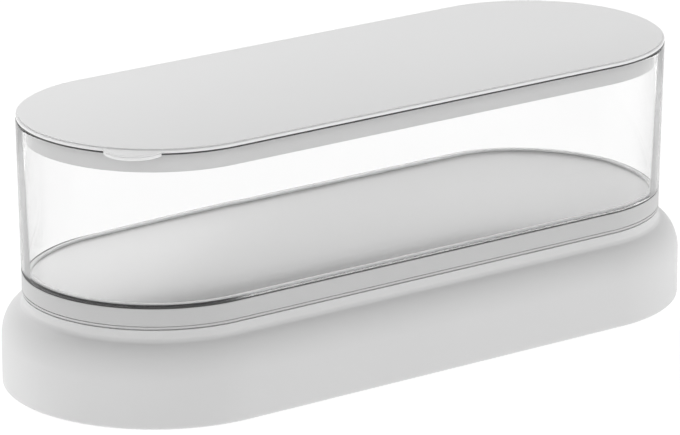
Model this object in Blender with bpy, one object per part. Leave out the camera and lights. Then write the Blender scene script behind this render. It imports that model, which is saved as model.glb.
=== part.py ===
# Ultrasonic jewelry cleaner: a white base with the driver inside, a clear tank with a steel
# floor, and a lift-off lid. It stands on its feet at Z = 0, with its long axis along X.
# The controls and the power inlet are on the rear side, +Y. All sizes are in metres.

import math

import bmesh
import bpy

# Overall form, a stadium in plan
BODY_LENGTH = 0.200
BODY_WIDTH = 0.0795
SEAT_GAP = 0.0003
EMBED = 0.0005
OVERRUN = 0.001
MERGE_DISTANCE = 0.000001

# Smoothness of round shapes
END_STEPS = 24
SMALL_END_STEPS = 8
PIN_STEPS = 16
DISC_STEPS = 48
SMOOTH_ANGLE = math.radians(35)

# Base housing
FOOT_STAND = 0.0010
BASE_HEIGHT = 0.02434
HOUSING_WALL = 0.0022
RIM_RUN = 0.00172
RIM_RISE = 0.00113
SHOULDER_START = 0.0127
SHOULDER_RISE = 0.0087
SHOULDER_RUN = 0.00607
COVE_RADIUS = 0.0014
NECK_RADIUS = 0.03437
BOSS_RADIUS = 0.0030
BOSS_WALL_GAP = 0.00125
BOSS_EMBED = 0.0007
BOSS_PLACE = 0.0450

# Bottom cover and its screws and feet
COVER_INSET = 0.0005
COVER_THICKNESS = 0.0020
COVER_SCREW_HEAD_RADIUS = 0.0023
COVER_SCREW_HEAD_HEIGHT = 0.0010
COVER_SCREW_RADIUS = 0.00125
COVER_SCREW_LENGTH = 0.0065
CROSS_LENGTH_SHARE = 0.62
CROSS_WIDTH_SHARE = 0.15
CROSS_DEPTH_SHARE = 0.5
FOOT_RADIUS = 0.0050
FOOT_RECESS = 0.0008
FOOT_EDGE = 0.0004
FOOT_PLACE_X = 0.0680
FOOT_PLACE_Y = 0.0220

# Tank collar: a ring on the neck with a shelf for the floor and a spigot inside the neck
COLLAR_STEP = 0.00003
COLLAR_HEIGHT = 0.00526
COLLAR_EDGE = 0.00015
COLLAR_LINE_RISE = 0.0006
COLLAR_LINE_HEIGHT = 0.0002
COLLAR_LINE_DEPTH = 0.00015
SHELF_HEIGHT = 0.00416
SHELF_THICKNESS = 0.0020
SHELF_REACH = 0.0022
SPIGOT_WALL = 0.0016
SPIGOT_DEPTH = 0.0015

# Clear tank wall, with a slight draft
TANK_STEP = 0.00007
TANK_FOOT_EDGE = 0.0002
TANK_DRAFT = math.radians(1.04)
TANK_WALL = 0.0019
TANK_HEIGHT = 0.0396
TANK_LIP = 0.0003

# Tank floor, its gasket and the bead in the corner
GASKET_LEG = 0.0006
GASKET_FOOT = 0.0004
GASKET_FOOT_INSET = 0.0002
FLOOR_THICKNESS = 0.0005
FLOOR_EDGE = 0.00015
BEAD_HEIGHT = 0.0006
BEAD_WIDTH = 0.0009

# Lid
LID_INSET = 0.00009
LID_RIM_HEIGHT = 0.00070
LID_RIM_EDGE = 0.00015
LID_PANEL_INSET = 0.00055
LID_PANEL_HEIGHT = 0.00015
LID_PANEL_EDGE = 0.00010
LID_CREASE_HEIGHT = 0.00020
LID_CREASE_DEPTH = 0.00025
LID_CORE_DEPTH = 0.00065
PLUG_DEPTH = 0.0052
PLUG_SKIRT = 0.0016
PLUG_EDGE = 0.00025
PLUG_WEB_HEIGHT = 0.0008
PLUG_WEB_WIDTH = 0.0018
PLUG_RABBET_HEIGHT = 0.00035
SEAL_WIDTH = 0.0006
SEAL_HEIGHT = 0.00085
SEAL_REACH = 0.00015
SEAL_EDGE = 0.00015
TAB_DIRECTION = math.radians(45.6)
TAB_PROTRUSION = 0.0048
TAB_RADIUS = 0.0076
TAB_THICKNESS = 0.00125
TAB_DROP = 0.00005
TAB_GROOVE_DROP = 0.00015
TAB_GROOVE_HEIGHT = 0.00035
TAB_GROOVE_DEPTH = 0.0003

# Transducer
TRANSDUCER_RADIUS = 0.0250
TRANSDUCER_THICKNESS = 0.0030
TRANSDUCER_EDGE = 0.0003

# Driver board and its screws
STANDOFF_RADIUS = 0.0028
STANDOFF_HEIGHT = 0.0015
BOARD_LENGTH = 0.0720
BOARD_WIDTH = 0.0440
BOARD_THICKNESS = 0.0016
BOARD_HOLE_INSET = 0.0035
BOARD_REAR_GAP = 0.0006
BOARD_SCREW_RADIUS = 0.0011
BOARD_SCREW_HEAD_RADIUS = 0.0022
BOARD_SCREW_HEAD_HEIGHT = 0.0012
BOARD_SCREW_LENGTH = 0.0042

# Parts on the driver board. End gaps run to the board's end edges and front gaps to its
# front edge. A row share is a share of the board's width, from its rear edge.
CAPACITOR_RADIUS = 0.0050
CAPACITOR_HEIGHT = 0.0160
CAPACITOR_CRIMP = 0.0005
CAPACITOR_END_GAP = 0.0030
CAPACITOR_ROW_SHARE = 0.34
TRANSFORMER_LENGTH = 0.0150
TRANSFORMER_WIDTH = 0.0130
TRANSFORMER_HEIGHT = 0.0110
TRANSFORMER_CORE_SHARE = 0.5
TRANSFORMER_END_GAP = 0.0045
TRANSFORMER_ROW_SHARE = 0.475
INDUCTOR_RADIUS = 0.0060
INDUCTOR_HEIGHT = 0.0090
INDUCTOR_FLANGE = 0.0015
INDUCTOR_WAIST_SHARE = 0.78
INDUCTOR_PLACE = 0.0090
INDUCTOR_ROW_SHARE = 0.52
SINK_LENGTH = 0.0200
SINK_BASE = 0.0020
SINK_FIN_LENGTH = 0.0070
SINK_FIN_WIDTH = 0.0012
SINK_FINS = 6
SINK_HEIGHT = 0.0140
SINK_PLACE = -0.0020
SINK_FRONT_GAP = 0.0016
TRANSISTOR_WIDTH = 0.0100
TRANSISTOR_DEPTH = 0.0045
TRANSISTOR_HEIGHT = 0.0120
CHIP_LENGTH = 0.0100
CHIP_WIDTH = 0.0040
CHIP_HEIGHT = 0.0016
CHIP_END_GAP = 0.0090
CHIP_FRONT_GAP = 0.0091
CONNECTOR_LENGTH = 0.0070
CONNECTOR_WIDTH = 0.0050
CONNECTOR_HEIGHT = 0.0050
CONNECTOR_SCREW_GAP = 0.0018
CONNECTOR_FRONT_GAP = 0.0036
PACKAGE_EDGE = 0.0003

# Leads from the connector to the transducer
LEAD_RADIUS = 0.0006
LEAD_SPACING = 0.0024
LEAD_RIM_INSET = 0.0055
LEAD_POINTS = 24
LEAD_SIDES = 1

# Power button and its switch
BUTTON_PLACE_X = 0.0
BUTTON_LENGTH = 0.0150
BUTTON_HEIGHT = 0.0064
BUTTON_EDGE = 0.0003
BUTTON_FLANGE = 0.0012
BUTTON_FLANGE_THICKNESS = 0.0010
BUTTON_TRAVEL = 0.0008
SWITCH_WIDTH = 0.0060
SWITCH_DEPTH = 0.0036
SWITCH_HEIGHT = 0.0034
SWITCH_INSET = 0.0006
PLUNGER_RADIUS = 0.0009
PLUNGER_INSERTION = 0.0016

# Indicator light
LENS_PLACE_X = 0.0130
LENS_RADIUS = 0.0011
LENS_COLLAR = 0.0007
LENS_COLLAR_THICKNESS = 0.0008
LED_WIDTH = 0.0030
LED_DEPTH = 0.0022

# Power inlet
INLET_PLACE_X = -0.0190
INLET_WIDTH = 0.00894
INLET_HEIGHT = 0.00326
INLET_SHELL = 0.0003
INLET_LENGTH = 0.0100
INLET_BACK = 0.0012
INLET_RECESS = 0.0005
TONGUE_WIDTH = 0.0067
TONGUE_THICKNESS = 0.0007
TONGUE_LENGTH = 0.0068

# Curves in the profiles, in steps
RIM_STEPS = 3
SHOULDER_STEPS = 10
COVE_STEPS = 4
INNER_STEPS = 6
EDGE_STEPS = 2
COVE_SEARCH_ROUNDS = 40

# Plan of the body: two round ends about centres at +SPAN and -SPAN on X
SPAN = (BODY_LENGTH - BODY_WIDTH) / 2
WALL_RADIUS = BODY_WIDTH / 2
INNER_RADIUS = WALL_RADIUS - HOUSING_WALL

# Heights of the base
NECK_HIGH = FOOT_STAND + BASE_HEIGHT
NECK_INNER_RADIUS = NECK_RADIUS - HOUSING_WALL
SHOULDER_Z = FOOT_STAND + SHOULDER_START
SHOULDER_RADIUS = WALL_RADIUS - SHOULDER_RUN
INNER_TOP_Z = SHOULDER_Z + SHOULDER_RISE - HOUSING_WALL
COVER_LOW = FOOT_STAND + COVER_INSET
COVER_HIGH = COVER_LOW + COVER_THICKNESS
BOSS_LINE = INNER_RADIUS - BOSS_WALL_GAP - BOSS_RADIUS

# Heights and radii of the collar and the tank
COLLAR_LOW = NECK_HIGH + SEAT_GAP
COLLAR_HIGH = COLLAR_LOW + COLLAR_HEIGHT
COLLAR_RADIUS = NECK_RADIUS + COLLAR_STEP
SHELF_Z = COLLAR_LOW + SHELF_HEIGHT
SHELF_INNER_RADIUS = NECK_INNER_RADIUS - SHELF_REACH
SPIGOT_RADIUS = NECK_INNER_RADIUS - SEAT_GAP
TANK_FOOT_RADIUS = COLLAR_RADIUS + TANK_STEP
TANK_FOOT_INNER = TANK_FOOT_RADIUS - TANK_WALL
TANK_LOW = COLLAR_HIGH + SEAT_GAP
TANK_HIGH = TANK_LOW + TANK_HEIGHT
GASKET_LOW = SHELF_Z + SEAT_GAP
FLOOR_LOW = GASKET_LOW + GASKET_FOOT + SEAT_GAP
FLOOR_HIGH = FLOOR_LOW + FLOOR_THICKNESS

# Heights of the lid
LID_LOW = TANK_HIGH + SEAT_GAP
LID_RIM_HIGH = LID_LOW + LID_RIM_HEIGHT
LID_HIGH = LID_RIM_HIGH + LID_CREASE_HEIGHT + LID_PANEL_HEIGHT
CORE_LOW = LID_LOW - LID_CORE_DEPTH
PLUG_HIGH = CORE_LOW - SEAT_GAP
PLUG_LOW = TANK_HIGH - PLUG_DEPTH

# Heights of the driver
STANDOFF_HIGH = COVER_HIGH + STANDOFF_HEIGHT
BOARD_LOW = STANDOFF_HIGH + SEAT_GAP
BOARD_HIGH = BOARD_LOW + BOARD_THICKNESS
PART_LOW = BOARD_HIGH + SEAT_GAP
CONTROL_Z = PART_LOW + SWITCH_HEIGHT / 2
INLET_Z = PART_LOW + INLET_HEIGHT / 2
TRANSDUCER_HIGH = FLOOR_LOW - SEAT_GAP
TRANSDUCER_LOW = TRANSDUCER_HIGH - TRANSDUCER_THICKNESS

# Depths behind the rear face of the housing
REAR_Y = WALL_RADIUS
FLANGE_DEPTH = HOUSING_WALL + SEAT_GAP
FLANGE_BACK = FLANGE_DEPTH + BUTTON_FLANGE_THICKNESS
BOARD_DEPTH = FLANGE_BACK + BUTTON_TRAVEL + BOARD_REAR_GAP
BOARD_REAR_Y = REAR_Y - BOARD_DEPTH
SWITCH_FRONT = BOARD_DEPTH + SWITCH_INSET
PLUNGER_FRONT = FLANGE_BACK + SEAT_GAP
PLUNGER_BACK = SWITCH_FRONT + PLUNGER_INSERTION

# Places on the driver board, from its middle along X
BOARD_END = BOARD_LENGTH / 2
BOARD_SCREW_PLACE = BOARD_END - BOARD_HOLE_INSET
CAPACITOR_PLACE = BOARD_END - CAPACITOR_END_GAP - CAPACITOR_RADIUS
CHIP_PLACE = BOARD_END - CHIP_END_GAP - CHIP_LENGTH / 2
TRANSFORMER_PLACE = TRANSFORMER_END_GAP + TRANSFORMER_LENGTH / 2 - BOARD_END
CONNECTOR_PLACE = (BOARD_SCREW_HEAD_RADIUS + CONNECTOR_SCREW_GAP + CONNECTOR_LENGTH / 2
                   - BOARD_SCREW_PLACE)

# Depths on the driver board, from its rear edge
SINK_BACK = BOARD_WIDTH - SINK_FRONT_GAP - SINK_FIN_LENGTH - SINK_BASE
CHIP_BACK = BOARD_WIDTH - CHIP_FRONT_GAP - CHIP_WIDTH / 2
CONNECTOR_BACK = BOARD_WIDTH - CONNECTOR_FRONT_GAP - CONNECTOR_WIDTH / 2


def tank_radius(height):
    """Outer radius of the clear wall at a height."""
    return TANK_FOOT_RADIUS + (height - TANK_LOW) * math.tan(TANK_DRAFT)


def tank_inner_radius(height):
    return tank_radius(height) - TANK_WALL


TANK_TOP_RADIUS = tank_radius(TANK_HIGH)
LID_RADIUS = TANK_TOP_RADIUS - LID_INSET
PANEL_RADIUS = LID_RADIUS - LID_PANEL_INSET
PLUG_RADIUS = tank_inner_radius(PLUG_LOW) - SEAT_GAP
SEAL_OUTER_RADIUS = PLUG_RADIUS + SEAL_REACH
SEAL_INNER_RADIUS = SEAL_OUTER_RADIUS - SEAL_WIDTH
CORE_RADIUS = SEAL_INNER_RADIUS - SEAT_GAP
SEAL_LOW = LID_LOW - SEAT_GAP / 2 - SEAL_HEIGHT
GASKET_RADIUS = tank_inner_radius(GASKET_LOW) - SEAT_GAP
FLOOR_RADIUS = GASKET_RADIUS - GASKET_LEG - SEAT_GAP
BEAD_LOW = FLOOR_HIGH + SEAT_GAP
BEAD_RADIUS = tank_inner_radius(BEAD_LOW) - SEAT_GAP


def clear_scene():
    for obj in list(bpy.data.objects):
        bpy.data.objects.remove(obj, do_unlink=True)


def finish_material(name, colour, roughness, metallic=0.0, transmission=0.0):
    material = bpy.data.materials.new(name)
    material.use_nodes = True
    shader = material.node_tree.nodes["Principled BSDF"]
    shader.inputs["Base Color"].default_value = (*colour, 1.0)
    shader.inputs["Roughness"].default_value = roughness
    shader.inputs["Metallic"].default_value = metallic
    shader.inputs["Transmission Weight"].default_value = transmission
    return material


def place(obj, location=(0, 0, 0), facing_rear=False, parent=None):
    """Facing the rear, local Z runs inwards from the rear face and local Y runs up."""
    obj.location = location
    if facing_rear:
        obj.rotation_euler = (math.pi / 2, 0, 0)
    if parent:
        obj.parent = parent
        obj.matrix_parent_inverse = parent.matrix_world.inverted()
    return obj


def make_object(name, shape, material=None, **placing):
    """A named object from a bmesh, which it frees. Without a material it is a hidden cutter."""
    bmesh.ops.remove_doubles(shape, verts=shape.verts, dist=MERGE_DISTANCE)
    bmesh.ops.recalc_face_normals(shape, faces=shape.faces)
    mesh = bpy.data.meshes.new(name)
    shape.to_mesh(mesh)
    shape.free()
    obj = bpy.data.objects.new(name, mesh)
    bpy.context.scene.collection.objects.link(obj)
    if material:
        mesh.materials.append(material)
        mesh.shade_smooth()
        mesh.set_sharp_from_angle(angle=SMOOTH_ANGLE)
    else:
        obj.hide_render = True
        obj.display_type = "WIRE"
    return place(obj, **placing)


def combine(obj, other, operation):
    modifier = obj.modifiers.new(f"{operation.lower()} {other.name}", "BOOLEAN")
    modifier.operation = operation
    modifier.solver = "EXACT"
    modifier.object = other


def arc(centre_radius, centre_height, run, rise, start, end, steps):
    """Points along an elliptical arc of a profile, with both ends, for angles in degrees."""
    angles = [math.radians(start + (end - start) * step / steps) for step in range(steps + 1)]
    return [
        (centre_radius + run * math.cos(angle), centre_height + rise * math.sin(angle))
        for angle in angles
    ]


def edges_in(geometry):
    return [item for item in geometry if isinstance(item, bmesh.types.BMEdge)]


def verts_in(geometry):
    return [item for item in geometry if isinstance(item, bmesh.types.BMVert)]


def profile_edges(shape, points, closed):
    verts = [shape.verts.new(point) for point in points]
    pairs = list(zip(verts, verts[1:]))
    if closed:
        pairs.append((verts[-1], verts[0]))
    return [shape.edges.new(pair) for pair in pairs]


def stadium(profile, span, closed=True, steps=END_STEPS):
    """A profile of (radius, height) points carried round a stadium. An open one is capped."""
    shape = bmesh.new()
    points = [(span, -radius, height) for radius, height in profile]
    edges = profile_edges(shape, points, closed)
    for centre in (span, -span):
        spun = bmesh.ops.spin(
            shape,
            geom=edges + list({vert for edge in edges for vert in edge.verts}),
            cent=(centre, 0, 0),
            axis=(0, 0, 1),
            angle=math.pi,
            steps=steps,
        )
        side = bmesh.ops.extrude_edge_only(shape, edges=edges_in(spun["geom_last"]))
        bmesh.ops.translate(shape, verts=verts_in(side["geom"]), vec=(-2 * centre, 0, 0))
        edges = [
            edge for edge in edges_in(side["geom"])
            if all(abs(vert.co.x + centre) < MERGE_DISTANCE for vert in edge.verts)
        ]
    bmesh.ops.remove_doubles(shape, verts=shape.verts, dist=MERGE_DISTANCE)
    if not closed:
        rims = [edge for edge in shape.edges if edge.is_boundary]
        bmesh.ops.holes_fill(shape, edges=rims, sides=0)
    return shape


def turned(profile, steps, shape=None, centre=(0, 0)):
    """A profile of (radius, height) points turned about an upright axis, closed on that axis."""
    shape = shape or bmesh.new()
    points = [(centre[0] + radius, centre[1], height) for radius, height in profile]
    edges = profile_edges(shape, points, closed=False)
    bmesh.ops.spin(
        shape,
        geom=edges + list({vert for edge in edges for vert in edge.verts}),
        cent=(*centre, 0),
        axis=(0, 0, 1),
        angle=math.tau,
        steps=steps,
        use_merge=True,
    )
    return shape


def rod_profile(radius, low, high, edge=0.0):
    """A plain or chamfered rod between two heights, from its lower end to its upper end."""
    if not edge:
        return [(0, low), (radius, low), (radius, high), (0, high)]
    return [
        (0, low),
        (radius - edge, low),
        (radius, low + edge),
        (radius, high - edge),
        (radius - edge, high),
        (0, high),
    ]


def prism(outline, low, high):
    shape = bmesh.new()
    face = shape.faces.new([shape.verts.new((x, y, low)) for x, y in outline])
    grown = bmesh.ops.extrude_face_region(shape, geom=[face])
    bmesh.ops.translate(shape, verts=verts_in(grown["geom"]), vec=(0, 0, high - low))
    return shape


def rectangle(length, width, centre=(0, 0)):
    return [
        (centre[0] + side_x * length / 2, centre[1] + side_y * width / 2)
        for side_x, side_y in ((-1, -1), (1, -1), (1, 1), (-1, 1))
    ]


def block(length, width, low, high, edge=0.0, centre=(0, 0)):
    """A box between two heights, with its edges beveled where an edge size is given."""
    shape = prism(rectangle(length, width, centre), low, high)
    if edge:
        bmesh.ops.bevel(
            shape,
            geom=list(shape.edges),
            offset=edge,
            segments=1,
            profile=0.5,
            affect="EDGES",
            material=-1,
        )
    return shape


def cove_start():
    """Where the shoulder's ellipse gives way to the cove: its angle and the cove's centre."""
    low, high = 0.0, math.pi / 2
    for _ in range(COVE_SEARCH_ROUNDS):
        angle = (low + high) / 2
        across, up = math.cos(angle) / SHOULDER_RUN, math.sin(angle) / SHOULDER_RISE
        size = math.hypot(across, up)
        across, up = across / size, up / size
        centre_radius = SHOULDER_RADIUS + SHOULDER_RUN * math.cos(angle) + COVE_RADIUS * across
        if centre_radius > NECK_RADIUS + COVE_RADIUS:
            low = angle
        else:
            high = angle
    centre_z = SHOULDER_Z + SHOULDER_RISE * math.sin(angle) + COVE_RADIUS * up
    contact = math.degrees(math.atan2(-up, -across)) % 360
    return math.degrees(angle), (centre_radius, centre_z), contact


def housing_profile():
    shoulder_end, cove_centre, contact = cove_start()
    return [
        *arc(WALL_RADIUS - RIM_RUN, FOOT_STAND + RIM_RISE, RIM_RUN, RIM_RISE, -90, 0, RIM_STEPS),
        *arc(SHOULDER_RADIUS, SHOULDER_Z, SHOULDER_RUN, SHOULDER_RISE,
             0, shoulder_end, SHOULDER_STEPS),
        *arc(*cove_centre, COVE_RADIUS, COVE_RADIUS, contact, 180, COVE_STEPS)[1:],
        (NECK_RADIUS, NECK_HIGH),
        (NECK_INNER_RADIUS, NECK_HIGH),
        (NECK_INNER_RADIUS, INNER_TOP_Z),
        *arc(SHOULDER_RADIUS, SHOULDER_Z, SHOULDER_RUN - HOUSING_WALL,
             SHOULDER_RISE - HOUSING_WALL, 90, 0, INNER_STEPS),
        (INNER_RADIUS, FOOT_STAND),
    ]


def four_corners(place_x, place_y, middle_y=0.0):
    return [
        (side_x * place_x, middle_y + side_y * place_y)
        for side_x in (-1, 1)
        for side_y in (-1, 1)
    ]


def cover_screw_places():
    return four_corners(BOSS_PLACE, BOSS_LINE)


def board_screw_places():
    half_width = BOARD_WIDTH / 2
    return four_corners(
        BOARD_SCREW_PLACE, half_width - BOARD_HOLE_INSET, BOARD_REAR_Y - half_width
    )


def make_rear_cutouts():
    """Holes through the rear side of the housing for the button, the lens and the inlet."""
    depth = HOUSING_WALL + OVERRUN
    button_radius = BUTTON_HEIGHT / 2 + SEAT_GAP
    button_span = (BUTTON_LENGTH - BUTTON_HEIGHT) / 2
    inlet_radius = INLET_HEIGHT / 2 + SEAT_GAP
    inlet_span = (INLET_WIDTH - INLET_HEIGHT) / 2
    lens_hole = turned(rod_profile(LENS_RADIUS + SEAT_GAP, -OVERRUN, depth), PIN_STEPS)
    return [
        make_object(
            "button_hole",
            stadium([(button_radius, -OVERRUN), (button_radius, depth)], button_span,
                    closed=False, steps=SMALL_END_STEPS),
            location=(BUTTON_PLACE_X, REAR_Y, CONTROL_Z),
            facing_rear=True,
        ),
        make_object("lens_hole", lens_hole, location=(LENS_PLACE_X, REAR_Y, CONTROL_Z),
                    facing_rear=True),
        make_object(
            "inlet_hole",
            stadium([(inlet_radius, -OVERRUN), (inlet_radius, depth)], inlet_span,
                    closed=False, steps=SMALL_END_STEPS),
            location=(INLET_PLACE_X, REAR_Y, INLET_Z),
            facing_rear=True,
        ),
    ]


def make_base_housing(white_plastic):
    housing = make_object("base_housing", stadium(housing_profile(), SPAN), white_plastic)
    boss_low = COVER_HIGH + SEAT_GAP
    boss_high = INNER_TOP_Z + BOSS_EMBED
    hole_high = COVER_LOW + COVER_SCREW_HEAD_HEIGHT + COVER_SCREW_LENGTH + SEAT_GAP
    hole_radius = COVER_SCREW_RADIUS + SEAT_GAP
    bosses = bmesh.new()
    holes = bmesh.new()
    for centre in cover_screw_places():
        turned(rod_profile(BOSS_RADIUS, boss_low, boss_high), PIN_STEPS, bosses, centre)
        turned(rod_profile(hole_radius, boss_low - OVERRUN, hole_high), PIN_STEPS, holes, centre)
    combine(housing, make_object("screw_bosses", bosses), "UNION")
    combine(housing, make_object("boss_holes", holes), "DIFFERENCE")
    for cutout in make_rear_cutouts():
        combine(housing, cutout, "DIFFERENCE")


def make_bottom_cover(white_plastic):
    radius = INNER_RADIUS - SEAT_GAP
    cover = make_object(
        "bottom_cover",
        stadium([(radius, COVER_LOW), (radius, COVER_HIGH)], SPAN, closed=False),
        white_plastic,
    )
    head_radius = COVER_SCREW_HEAD_RADIUS + SEAT_GAP
    shank_radius = COVER_SCREW_RADIUS + SEAT_GAP
    head_seat = COVER_LOW + COVER_SCREW_HEAD_HEIGHT + SEAT_GAP
    screw_hole = [
        (0, COVER_LOW - OVERRUN),
        (head_radius, COVER_LOW - OVERRUN),
        (head_radius, head_seat),
        (shank_radius, head_seat),
        (shank_radius, COVER_HIGH + OVERRUN),
        (0, COVER_HIGH + OVERRUN),
    ]
    foot_hole = rod_profile(FOOT_RADIUS + SEAT_GAP, COVER_LOW - OVERRUN, COVER_LOW + FOOT_RECESS)
    standoff = rod_profile(STANDOFF_RADIUS, COVER_HIGH - EMBED, STANDOFF_HIGH)
    thread_low = PART_LOW - BOARD_SCREW_LENGTH - SEAT_GAP
    thread_hole = rod_profile(
        BOARD_SCREW_RADIUS + SEAT_GAP, thread_low, STANDOFF_HIGH + OVERRUN
    )
    standoffs = bmesh.new()
    holes = bmesh.new()
    for centre in cover_screw_places():
        turned(screw_hole, PIN_STEPS, holes, centre)
    for centre in four_corners(FOOT_PLACE_X, FOOT_PLACE_Y):
        turned(foot_hole, END_STEPS, holes, centre)
    for centre in board_screw_places():
        turned(standoff, PIN_STEPS, standoffs, centre)
        turned(thread_hole, PIN_STEPS, holes, centre)
    combine(cover, make_object("standoffs", standoffs), "UNION")
    combine(cover, make_object("cover_holes", holes), "DIFFERENCE")


def make_feet(rubber):
    profile = [
        (0, 0),
        (FOOT_RADIUS - FOOT_EDGE, 0),
        (FOOT_RADIUS, FOOT_EDGE),
        (FOOT_RADIUS, COVER_LOW + FOOT_RECESS - SEAT_GAP),
        (0, COVER_LOW + FOOT_RECESS - SEAT_GAP),
    ]
    for number, (x, y) in enumerate(four_corners(FOOT_PLACE_X, FOOT_PLACE_Y), start=1):
        make_object(f"foot_{number}", turned(profile, END_STEPS), rubber, location=(x, y, 0))


def cross_outline(length, width):
    """Outline of a cross recess, counter-clockwise."""
    far, near = length / 2, width / 2
    return [
        (far, -near), (far, near), (near, near), (near, far), (-near, far), (-near, near),
        (-far, near), (-far, -near), (-near, -near), (-near, -far), (near, -far), (near, -near),
    ]


def make_screw(name, steel, head_radius, head_height, shank_radius, shank_length, **placing):
    """A cross-head screw with its head's face at local Z = 0 and its shank along +Z."""
    shoulder = head_height + shank_length
    profile = [
        (0, 0),
        (head_radius, 0),
        (head_radius, head_height),
        (shank_radius, head_height),
        (shank_radius, shoulder),
        (0, shoulder),
    ]
    screw = make_object(name, turned(profile, PIN_STEPS), steel, **placing)
    outline = cross_outline(
        2 * head_radius * CROSS_LENGTH_SHARE, 2 * head_radius * CROSS_WIDTH_SHARE
    )
    recess = prism(outline, -OVERRUN, head_height * CROSS_DEPTH_SHARE)
    cutter = make_object(f"{name}_recess", recess, **placing)
    combine(screw, cutter, "DIFFERENCE")
    return screw, cutter


def make_cover_screws(steel):
    for number, (x, y) in enumerate(cover_screw_places(), start=1):
        make_screw(
            f"cover_screw_{number}",
            steel,
            COVER_SCREW_HEAD_RADIUS,
            COVER_SCREW_HEAD_HEIGHT,
            COVER_SCREW_RADIUS,
            COVER_SCREW_LENGTH,
            location=(x, y, COVER_LOW),
        )


def make_board_screws(steel):
    head_z = PART_LOW + BOARD_SCREW_HEAD_HEIGHT
    for number, (x, y) in enumerate(board_screw_places(), start=1):
        pieces = make_screw(
            f"board_screw_{number}",
            steel,
            BOARD_SCREW_HEAD_RADIUS,
            BOARD_SCREW_HEAD_HEIGHT,
            BOARD_SCREW_RADIUS,
            BOARD_SCREW_LENGTH,
            location=(x, y, head_z),
        )
        for piece in pieces:
            piece.rotation_euler = (math.pi, 0, 0)


def make_tank_collar(white_plastic):
    line_low = COLLAR_LOW + COLLAR_LINE_RISE
    line_high = line_low + COLLAR_LINE_HEIGHT
    line_radius = COLLAR_RADIUS - COLLAR_LINE_DEPTH
    shelf_low = SHELF_Z - SHELF_THICKNESS
    spigot_low = COLLAR_LOW - SPIGOT_DEPTH
    spigot_inner = SPIGOT_RADIUS - SPIGOT_WALL
    profile = [
        (COLLAR_RADIUS, COLLAR_LOW),
        (COLLAR_RADIUS, line_low),
        (line_radius, line_low),
        (line_radius, line_high),
        (COLLAR_RADIUS, line_high),
        *arc(COLLAR_RADIUS - COLLAR_EDGE, COLLAR_HIGH - COLLAR_EDGE, COLLAR_EDGE, COLLAR_EDGE,
             0, 90, EDGE_STEPS),
        (TANK_FOOT_INNER, COLLAR_HIGH),
        (TANK_FOOT_INNER, SHELF_Z),
        (SHELF_INNER_RADIUS, SHELF_Z),
        (SHELF_INNER_RADIUS, shelf_low),
        (spigot_inner, shelf_low),
        (spigot_inner, spigot_low),
        (SPIGOT_RADIUS, spigot_low),
        (SPIGOT_RADIUS, COLLAR_LOW),
    ]
    make_object("tank_collar", stadium(profile, SPAN), white_plastic)


def make_tank_wall(clear_plastic):
    foot_side = TANK_LOW + TANK_FOOT_EDGE
    lip_inner = tank_inner_radius(TANK_HIGH) + TANK_LIP
    profile = [
        (TANK_FOOT_RADIUS - TANK_FOOT_EDGE, TANK_LOW),
        (tank_radius(foot_side), foot_side),
        (tank_radius(TANK_HIGH - TANK_LIP), TANK_HIGH - TANK_LIP),
        *arc(TANK_TOP_RADIUS - TANK_LIP, TANK_HIGH - TANK_LIP, TANK_LIP, TANK_LIP,
             0, 90, EDGE_STEPS)[1:],
        *arc(lip_inner, TANK_HIGH - TANK_LIP, TANK_LIP, TANK_LIP, 90, 180, EDGE_STEPS)[:-1],
        (tank_inner_radius(TANK_HIGH - TANK_LIP), TANK_HIGH - TANK_LIP),
        (TANK_FOOT_INNER, TANK_LOW),
    ]
    make_object("tank_wall", stadium(profile, SPAN), clear_plastic)


def make_tank_floor(steel, dark_rubber, silicone):
    gasket_inner = GASKET_RADIUS - GASKET_LEG
    foot_inner = SHELF_INNER_RADIUS + GASKET_FOOT_INSET
    gasket = [
        (foot_inner, GASKET_LOW),
        (GASKET_RADIUS, GASKET_LOW),
        (GASKET_RADIUS, FLOOR_HIGH),
        (gasket_inner, FLOOR_HIGH),
        (gasket_inner, GASKET_LOW + GASKET_FOOT),
        (foot_inner, GASKET_LOW + GASKET_FOOT),
    ]
    floor = [
        (FLOOR_RADIUS - FLOOR_EDGE, FLOOR_LOW),
        (FLOOR_RADIUS, FLOOR_LOW + FLOOR_EDGE),
        (FLOOR_RADIUS, FLOOR_HIGH - FLOOR_EDGE),
        (FLOOR_RADIUS - FLOOR_EDGE, FLOOR_HIGH),
    ]
    bead = [
        (BEAD_RADIUS - BEAD_WIDTH, BEAD_LOW),
        (BEAD_RADIUS, BEAD_LOW),
        (BEAD_RADIUS, BEAD_LOW + BEAD_HEIGHT),
    ]
    make_object("floor_gasket", stadium(gasket, SPAN), dark_rubber)
    make_object("steel_floor", stadium(floor, SPAN, closed=False), steel)
    make_object("seal_bead", stadium(bead, SPAN), silicone)


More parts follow.
